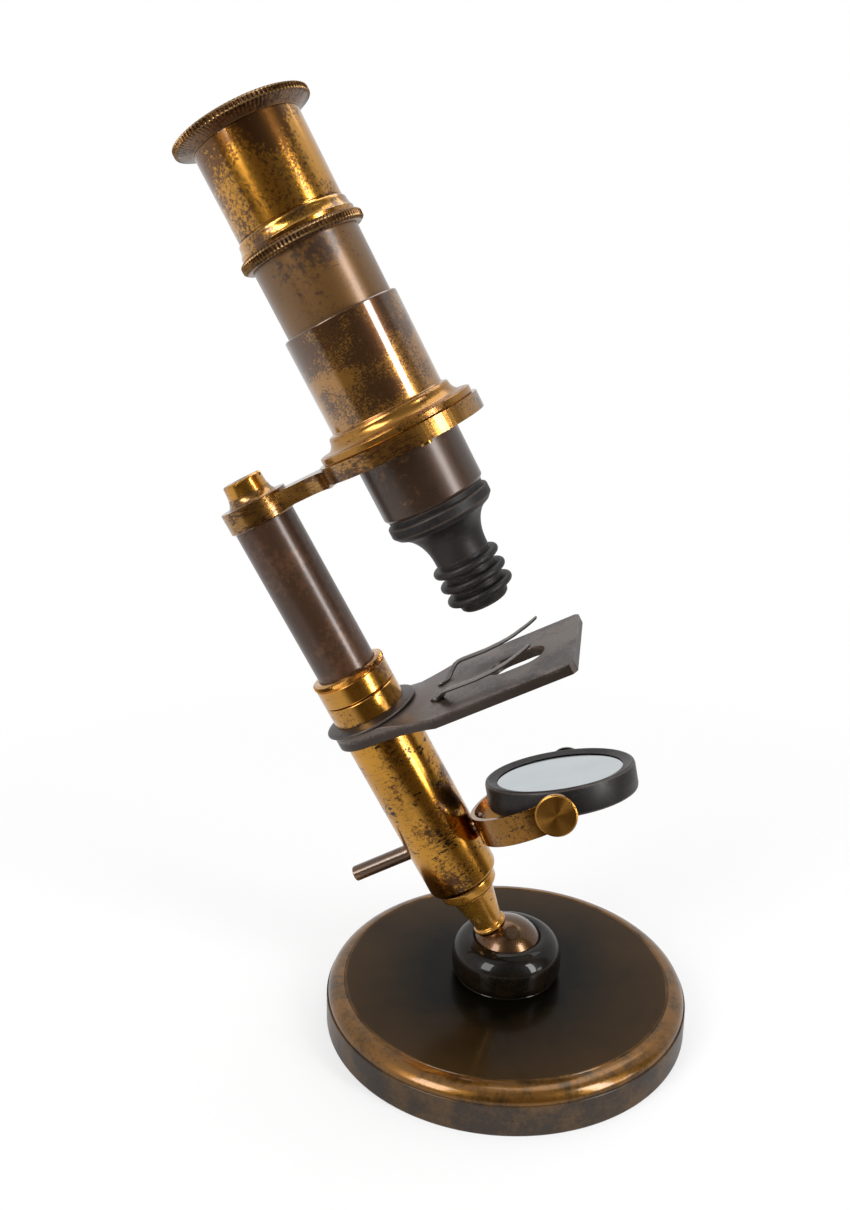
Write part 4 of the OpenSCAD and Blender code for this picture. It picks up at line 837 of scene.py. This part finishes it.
class MICROSCOPE_OT_clips(bpy.types.Operator):
    """Two spring clips on the stage"""

    bl_idname = "microscope.clips"
    bl_label = "Stage clips"

    def execute(self, context):
        pin_along, pin_aside = 20.4, 5.0  # where the pins stand on the stage
        # along the strip's middle: distance from the pin, height above the root and distance sideways
        run = [-1.2, 0.0, 1.6, 2.4, 3.2, 4.6, 5.6, 6.8, 10.0, 14.0, 18.6, 21.0, 23.3, 25.6, 27.3, 29.2, 31.0]
        rise = [0.0, 0.0, 0.0, 0.6, 1.4, 2.3, 2.55, 2.6, 2.52, 2.44, 2.72, 3.0, 3.41, 4.0, 4.4, 5.0, 5.6]
        out = [-0.6, 0.0, 1.4, 2.1, 2.8, 3.9, 4.4] + [4.6] * 10
        half_width = np.full(len(run), 1.25)
        half_width[[0, -1]] = 0.9
        for side, sign in (("left", 1), ("right", -1)):
            path = np.stack([
                pin_along + np.array(run), sign * (pin_aside + np.array(out)), STAGE_HIGH + 0.27 + np.array(rise),
            ], axis=1)
            plan = np.gradient(path[:, :2], axis=0)
            across = np.stack([-plan[:, 1], plan[:, 0], np.zeros(len(run))], axis=1)
            across /= np.linalg.norm(across, axis=1)[:, None]
            item = strip(f"clip_spring_{side}", path, half_width, 0.25, "limb", across)
            fit_piece(item, f"clip_{side}", f"clip_{side}", "clip_steel")
            dress("clip_steel", f"clip_pin_{side}")
        return {"FINISHED"}


class MICROSCOPE_OT_focus(bpy.types.Operator):
    """Fixed collar and the milled ring of the fine focus"""

    bl_idname = "microscope.focus"
    bl_label = "Fine focus"

    def execute(self, context):
        r = size("collar_radius")
        outline = [
            [COLLAR_BORE, COLLAR_LOW], [r, COLLAR_LOW], [r, COLLAR_HIGH - 0.3], [r - 0.3, COLLAR_HIGH],
            [COLLAR_BORE, COLLAR_HIGH],
        ]
        turned_piece("collar_turned", "collar", "limb", "brass_collar", "lacquered_brass", "limb", outline, 0.12)
        band, rim = RING_HIGH - 1.6, r + 0.15  # the milled band stands out a little
        outline = [
            [LIMB_BORE, RING_LOW], [r - 0.3, RING_LOW], [r, RING_LOW + 0.3], [r, band - 0.4], [r - 0.4, band - 0.2],
            [r - 0.4, band], [rim, band + 0.1], [rim, band + 0.7], [rim, RING_HIGH - 0.4],
            [r - 0.4, RING_HIGH - 0.3], [r - 1.0, RING_HIGH], [LIMB_BORE, RING_HIGH],
        ]
        ribs = (band + 0.05, RING_HIGH - 0.35, settings().size.focus_ribs, 0.3)
        turned_piece("focus_ring_milled", "focus_ring", "focus_ring", "knurled_gold", "lacquered_brass", "limb",
                     outline, 0.12, ribs=ribs)
        dress("screw_steel", "ring_screws")
        return {"FINISHED"}


class MICROSCOPE_OT_pillar(bpy.types.Operator):
    """Dark sliding pillar, the arm on it and its slotted nut"""

    bl_idname = "microscope.pillar"
    bl_label = "Pillar and arm"

    def execute(self, context):
        r, low = size("pillar_radius"), 52.8
        outline = [[r - 1.4, low], [r, low], [r, BOSS_LOW], [r - 1.4, BOSS_LOW]]
        turned_piece("pillar_bronzed", "pillar", "pillar", "bronzed_pillar", "bronzed_tube", "limb", outline, 0.1)
        dress("plain_brass", "pillar_plug")
        rounded_piece("arm_rounded", "arm", "pillar", "brass_arm", 0.3)
        rounded_piece("arm_nut_rounded", "arm_nut", "pillar", "brass_nut", 0.2)
        return {"FINISHED"}


class MICROSCOPE_OT_body_sleeve(bpy.types.Operator):
    """Flanged sleeve with a hollow moulding, in which the body tube slides"""

    bl_idname = "microscope.body_sleeve"
    bl_label = "Body sleeve"

    def execute(self, context):
        r, rim = size("holder_radius"), 20.6
        cove = ARM_HIGH + 2.0
        outline = [
            [HOLDER_BORE, ARM_LOW], [r, ARM_LOW], [r, ARM_HIGH], [rim - 0.2, ARM_HIGH], [rim, ARM_HIGH + 0.3],
            [rim, cove - 0.2], [20.1, cove], [19.2, cove - 0.2], *arc(19.2, cove + 2.8, 2.7, 2.8, -90, -180, 14),
            [16.2, cove + 3.4], [15.5, cove + 3.6], [r, cove + 3.8], [r, HOLDER_HIGH - 0.3], [r - 0.3, HOLDER_HIGH],
            [HOLDER_BORE, HOLDER_HIGH],
        ]
        turned_piece("body_sleeve_turned", "body_sleeve", "pillar", "brass_sleeve", "mottled_brass", "optic", outline,
                     0.2, 256)
        dress("plain_brass", "arm_screws")
        return {"FINISHED"}


class MICROSCOPE_OT_body_tube(bpy.types.Operator):
    """Dark body tube with its knurled grip ring and polished band"""

    bl_idname = "microscope.body_tube"
    bl_label = "Body tube"

    def execute(self, context):
        r = size("tube_radius")
        outline = [
            [TUBE_BORE, TUBE_LOW], [r - 0.6, TUBE_LOW], [r, TUBE_LOW + 0.8], [r, TUBE_HIGH - 0.3],
            [r - 0.3, TUBE_HIGH], [TUBE_BORE, TUBE_HIGH],
        ]
        turned_piece("body_tube_bronzed", "body_tube", "body_tube", "bronzed_tube", "bronzed_tube", "optic", outline,
                     0.15, 224)
        rim = 15.9
        outline = [
            [r, GRIP_LOW], [14.9, GRIP_LOW], [15.4, GRIP_LOW + 0.35], [rim, GRIP_LOW + 0.75], [rim, GRIP_LOW + 1.5],
            [rim, GRIP_HIGH - 0.75], [15.4, GRIP_HIGH - 0.35], [14.8, GRIP_HIGH], [r, GRIP_HIGH],
        ]
        ribs = (GRIP_LOW + 0.3, GRIP_HIGH - 0.3, settings().size.grip_ribs, 0.4)
        turned_piece("grip_ring_knurled", "grip_ring", "body_tube", "knurled_brass", "bronzed_tube", "optic", outline,
                     0.2, ribs=ribs)
        top = GRIP_HIGH + 3.7
        outline = [
            [r, GRIP_HIGH], [14.6, GRIP_HIGH], *arc(16.0, top - 0.6, 1.9, 2.9, -130, -180, 10),
            [r + 0.25, top - 0.2], [r + 0.1, top], [r, top],
        ]
        turned_piece("tube_band_polished", "tube_band", "body_tube", "brass_band", "polished_brass", "optic", outline,
                     0.1, 224)
        dress("black_brass", "tube_stop")
        return {"FINISHED"}


class MICROSCOPE_OT_objective(bpy.types.Operator):
    """Blackened objective: rim, hollow cone and three ringed lens mounts"""

    bl_idname = "microscope.objective"
    bl_label = "Objective"

    def execute(self, context):
        rim_top = TUBE_LOW - 1.5
        cone_top = rim_top - 4.0
        cone_rise = 9.7
        neck = cone_top - cone_rise
        outline = [
            [4.6, neck - 0.7], [7.3, neck - 0.7], [7.3, neck], *arc(13.6, neck, 6.3, cone_rise, 180, 102, 18),
            [12.4, cone_top], [12.75, cone_top], [13.95, cone_top + 1.3], [13.95, rim_top - 0.4], [13.65, rim_top],
            [12.85, rim_top], [13.05, TUBE_LOW], [4.6, TUBE_LOW],
        ]
        turned_piece("objective_cone_black", "objective_cone", "body_tube", "black_brass", "black_brass", "optic",
                     outline, 0.25)
        pitch, bead, core, bore = 4.1, 1.1, 7.1, 3.4  # each mount is a core with a half-round bead about its middle
        for i in range(3):
            high = neck - 0.7 - i * pitch
            low, mid = high - pitch, high - pitch / 2
            end = [[bore, low - 1.7], [5.8, low - 1.7], [6.5, low - 1.1], [6.8, low]]
            outline = [
                *(end if i == 2 else [[bore, low], [core, low]]), [core, mid - bead],
                *arc(9.15 - bead, mid, bead, bead, -80, 80, 10), [core, mid + bead], [core, high], [bore, high],
            ]
            turned_piece(f"lens_mount_turned_{i + 1}", f"lens_mount_{i + 1}", "body_tube", "black_brass",
                         "black_brass", "optic", outline, 0.15)
            dress("lens_glass", f"objective_lens_{i + 1}")
        return {"FINISHED"}


class MICROSCOPE_OT_eyepiece(bpy.types.Operator):
    """Eyepiece: drum, tube, knurled cap and lenses"""

    bl_idname = "microscope.eyepiece"
    bl_label = "Eyepiece"

    def execute(self, context):
        r, rim = size("drum_radius"), size("cap_radius")
        low = TUBE_HIGH + 0.02
        outline = [
            [DRUM_BORE, low], [r - 0.2, low], [r - 0.2, DRUM_LOW - 0.2], [r, DRUM_LOW], [r, DRUM_HIGH],
            [DRUM_BORE, DRUM_HIGH],
        ]
        turned_piece("eye_drum_turned", "eye_drum", "eyepiece", "brass_drum", "lacquered_brass", "optic", outline,
                     0.12, 224)
        hole, seat = 3.2, 6.0
        outline = [
            [seat, DRUM_HIGH - 0.02], [13.6, DRUM_HIGH], [14.0, DRUM_HIGH + 0.3], [16.6, CAP_RIM_LOW - 0.05],
            [rim, CAP_RIM_LOW + 0.25], [rim, CAP_RIM_LOW + 0.9], [rim, CAP_HIGH - 0.35], [rim - 0.9, CAP_HIGH],
            [12.6, CAP_HIGH], [8.5, CAP_HIGH - 0.75], [4.3, CAP_HIGH - 1.6], [hole, CAP_HIGH - 1.8],
            [hole, DRUM_HIGH + 0.4], [seat, DRUM_HIGH + 0.4],
        ]
        ribs = (CAP_RIM_LOW + 0.1, CAP_HIGH - 0.2, settings().size.cap_ribs, 0.42)
        turned_piece("eye_cap_knurled", "eye_cap", "eyepiece", "knurled_brass", "mottled_brass", "optic", outline,
                     0.2, ribs=ribs)
        dress("bronzed_tube", "eye_tube")
        dress("lens_glass", "eye_lens", "field_lens")
        dress("black_brass", "field_stop")
        return {"FINISHED"}


class MICROSCOPE_OT_mirror(bpy.types.Operator):
    """Mirror in its cell, the fork that carries it, the pivot screws and the rod"""

    bl_idname = "microscope.mirror"
    bl_label = "Mirror"

    def execute(self, context):
        r, h = size("cell_radius"), 3.9
        glass = r - 3.0
        outline = [
            [glass - 0.9, -h + 3.8], [glass, -h + 3.8], [glass, -h + 1.2], [glass - 0.5, -h + 0.9], [r - 0.9, -h],
            [r - 0.2, -h + 0.4], [r, -h + 1.2], [r, h - 1.2], [r - 0.2, h - 0.4], [r - 0.9, h],
            [glass - 0.5, h - 0.9], [glass, h - 1.2], [glass, h - 3.8], [glass - 0.9, h - 3.8],
        ]
        turned_piece("mirror_cell_black", "mirror_cell", "mirror", "black_cell", "black_brass", "cell", outline, 0.25,
                     224)
        dress("mirror_glass", "mirror_flat", "mirror_hollow")
        rounded_piece("mirror_fork_rounded", "mirror_fork", "mirror_fork", "brass_fork", 0.2)
        rounded_piece("mirror_rod_rounded", "mirror_rod", "mirror_rod", "bronzed_rod", 0.5)
        rounded_piece("pivot_screws_rounded", "pivot_screws", "mirror_fork", "brass_pivot", 0.25)
        return {"FINISHED"}


# ---------------------------------------------------------------- stage

CAMERA_PLACE = (-0.040707, -0.261518, 0.184953)
CAMERA_AZIMUTH = -6.219
CAMERA_ELEVATION = 11.946
CAMERA_ROLL = 1.646
FOCAL_PIXELS = 992.24
IMAGE_SIZE = (850, 1210)
IMAGE_CENTRE = (475.75, 582.3)
SENSOR_WIDTH = 36.0  # millimetres
LAMPS_FACE = (0.0, 0.0, 0.11)  # the point that every lamp faces
FLOOR_REACH = 3.0  # metres from the middle to the floor's edges
BACKDROP_WAY = (-0.325, 0.946, 0.0)  # level direction in which the white backdrop stands
WHITE = (1.0,) * 3
BRIGHT = (0.8,) * 3  # what the metal mirrors of the backdrop, of the room's sides, and of the photographer's side
PALE = (0.66,) * 3
DIM = (0.10, 0.078, 0.05)
AMBIENT = (0.5,) * 3  # what falls on matt surfaces
# name, azimuth and elevation in degrees, distance, width, height, brightness
LAMPS = (
    ("lamp_right", (48.0, 18.0), 0.75, 0.16, 0.62, 13.0),
    ("lamp_low", (62.0, -2.0), 0.75, 0.12, 0.14, 5.0),
    ("lamp_left", (-50.0, 24.0), 0.75, 0.26, 0.50, 8.0),
    ("lamp_top", (150.0, 70.0), 1.0, 0.8, 0.8, 1.5),
)


def way_of(azimuth, elevation):
    """A direction from degrees: 0 is towards -Y and positive azimuth towards +X. It is
    (sin a cos e, -cos a cos e, sin e)."""
    a, e = math.radians(azimuth), math.radians(elevation)
    return Vector((math.sin(a) * math.cos(e), -math.cos(a) * math.cos(e), math.sin(e)))


def camera_matrix():
    """The camera's place, with its back turned along its azimuth and elevation, and a roll about that line."""
    back = way_of(CAMERA_AZIMUTH, CAMERA_ELEVATION)
    a, roll = math.radians(CAMERA_AZIMUTH), math.radians(CAMERA_ROLL)
    level = Vector((math.cos(a), math.sin(a), 0.0))
    right = math.cos(roll) * level + math.sin(roll) * back.cross(level)
    rotation = Matrix((right, back.cross(right), back)).transposed().to_4x4()
    return Matrix.Translation(CAMERA_PLACE) @ rotation


def softbox(name, direction, distance, width, tall, brightness):
    """A soft white lamp that faces the object. brightness is how bright its face is, with the white surround at 1: its
    power is pi times face area times brightness."""
    way = way_of(*direction)
    lamp = bpy.data.lights.new(name, "AREA")
    lamp.shape = "RECTANGLE"
    lamp.size, lamp.size_y = width, tall
    lamp.energy = math.pi * width * tall * brightness
    item = linked(name, lamp)
    item.location = Vector(LAMPS_FACE) + way * distance
    item.rotation_mode = "QUATERNION"
    item.rotation_quaternion = (-way).to_track_quat("-Z", "Y")
    item.visible_camera = False


def towards_backdrop(tree, place_or_way, stops):
    """A colour ramp that runs from the photographer's side to the backdrop."""
    along = add(tree, "VectorMath", {0: place_or_way, 1: BACKDROP_WAY}, operation="DOT_PRODUCT")
    half = add(tree, "Math", {0: along, 1: 0.5, 2: 0.5}, operation="MULTIPLY_ADD")
    return add(tree, "ValToRGB", {"Fac": half}, stops)


def mirrored_share(tree, rays):
    """1 for rays that come from a reflection or through glass, 0 for others."""
    return add(tree, "Math", {0: (rays, "Is Glossy Ray"), 1: (rays, "Is Transmission Ray")}, operation="MAXIMUM")


def add_camera(scene):
    """The camera that was solved from the photograph."""
    data = bpy.data.cameras.new("camera")
    data.sensor_fit = "AUTO"
    data.sensor_width = SENSOR_WIDTH
    longest = max(IMAGE_SIZE)
    data.lens = FOCAL_PIXELS * SENSOR_WIDTH / longest
    data.shift_x = (IMAGE_SIZE[0] / 2 - IMAGE_CENTRE[0]) / longest
    data.shift_y = (IMAGE_CENTRE[1] - IMAGE_SIZE[1] / 2) / longest
    data.clip_start, data.clip_end = 0.01, 50.0
    camera = linked("camera", data)
    camera.matrix_world = camera_matrix()
    scene.camera = camera


def add_surround(scene):
    """A white surround. Reflections see white behind and beside the object, a dim room on the photographer's side, and
    a pale ceiling."""
    world = bpy.data.worlds.new("white_surround")
    scene.world = world
    world.use_nodes = True
    tree = world.node_tree
    tree.nodes.clear()
    rays = add(tree, "LightPath")
    coords = add(tree, "TexCoord")
    ahead = towards_backdrop(tree, (coords, "Generated"), [
        (0.0, DIM), (0.30, DIM), (0.405, PALE), (0.75, PALE), (1.0, BRIGHT)])
    apart = add(tree, "SeparateXYZ", {"Vector": (coords, "Generated")})
    above = add(tree, "MapRange", {"Value": (apart, "Z"), "From Min": 0.0, "From Max": 0.9, "To Max": 0.25})
    mirrored = add(tree, "Mix", {0: 1.0, 6: ahead, 7: above}, data_type="RGBA", blend_type="LIGHTEN")
    shine = mirrored_share(tree, rays)
    level = add(tree, "Mix", {0: shine, 6: AMBIENT, 7: mirrored}, data_type="RGBA")
    whole = add(tree, "Mix", {0: (rays, "Is Camera Ray"), 6: level, 7: WHITE}, data_type="RGBA")
    background = add(tree, "Background", {"Color": whole})
    add(tree, "OutputWorld", {"Surface": background})


def add_floor():
    """A pale floor that keeps the shadow and goes over into the white surround. In reflections it glows instead of
    being
    lit, a painted reflection: dim on the photographer's side and bright towards the backdrop."""
    reach = FLOOR_REACH
    points = np.array([[-reach, -reach, 0], [reach, -reach, 0], [reach, reach, 0], [-reach, reach, 0]]) / MM
    floor = to_object("floor", points, [[0, 1, 2, 3]], shift())
    material, tree = blank("pale_floor")
    rays = add(tree, "LightPath")
    coords = add(tree, "TexCoord")
    distance = add(tree, "VectorMath", {0: (coords, "Object")}, operation="LENGTH")
    matt = add(tree, "BsdfDiffuse", {"Color": tint("floor")})
    paper = add(tree, "Emission", {"Color": WHITE})
    share = add(tree, "MapRange", {"Value": distance, "From Min": 0.08, "From Max": 0.35, "To Min": 0.62})
    seen = add(tree, "MixShader", {0: share, 1: matt, 2: paper})
    # painted reflection: for reflected rays the floor glows by place, dim on the photographer's side and bright towards
    # the backdrop
    near = towards_backdrop(tree, (coords, "Object"), [(0.415, DIM), (0.46, PALE), (0.6, BRIGHT)])
    sheen = add(tree, "Emission", {"Color": near})
    shine = mirrored_share(tree, rays)
    plain = add(tree, "MixShader", {0: shine, 1: matt, 2: sheen})
    final = add(tree, "MixShader", {0: (rays, "Is Camera Ray"), 1: plain, 2: seen})
    add(tree, "OutputMaterial", {"Surface": final})
    floor.data.materials.append(material)


class MICROSCOPE_OT_stage(bpy.types.Operator):
    """Pale floor, white surround, soft lamps and the camera"""

    bl_idname = "microscope.stage"
    bl_label = "Studio"

    def execute(self, context):
        context.scene.view_settings.view_transform = "Standard"
        add_camera(context.scene)
        add_surround(context.scene)
        add_floor()
        for lamp in LAMPS:
            softbox(*lamp)
        return {"FINISHED"}


# ---------------------------------------------------------------- panel

PIECES = (
    MICROSCOPE_OT_foot,
    MICROSCOPE_OT_ball_joint,
    MICROSCOPE_OT_sleeve,
    MICROSCOPE_OT_stage_plate,
    MICROSCOPE_OT_clips,
    MICROSCOPE_OT_focus,
    MICROSCOPE_OT_pillar,
    MICROSCOPE_OT_body_sleeve,
    MICROSCOPE_OT_body_tube,
    MICROSCOPE_OT_objective,
    MICROSCOPE_OT_eyepiece,
    MICROSCOPE_OT_mirror,
    MICROSCOPE_OT_stage,
)


class MICROSCOPE_PT_panel(bpy.types.Panel):
    """Lists the microscope's pieces and settings"""

    bl_idname = "MICROSCOPE_PT_panel"
    bl_label = "Brass microscope"
    bl_space_type = "VIEW_3D"
    bl_region_type = "UI"
    bl_category = "Microscope"

    def draw(self, context):
        column = self.layout.column(align=True)
        for piece in PIECES:
            column.operator(piece.bl_idname)
        groups = context.scene.brass_microscope
        for group in (groups.pose, groups.size, groups.colours):
            box = self.layout.box()
            for name in group.bl_rna.properties.keys():
                if name not in ("rna_type", "name"):
                    box.prop(group, name)


CLASSES = (PoseSettings, SizeSettings, ColourSettings, MicroscopeSettings, *PIECES, MICROSCOPE_PT_panel)


def register():
    """Registers the classes and the scene's settings."""
    for item in CLASSES:
        bpy.utils.register_class(item)
    bpy.types.Scene.brass_microscope = PointerProperty(type=MicroscopeSettings)


def unregister():
    """Takes the classes and the settings away again."""
    del bpy.types.Scene.brass_microscope
    for item in reversed(CLASSES):
        bpy.utils.unregister_class(item)


def main():
    """Registers the add-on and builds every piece."""
    register()
    for piece in PIECES:
        group, name = piece.bl_idname.split(".")
        getattr(getattr(bpy.ops, group), name)()
    bpy.context.view_layer.update()


if __name__ == "__main__":
    main()
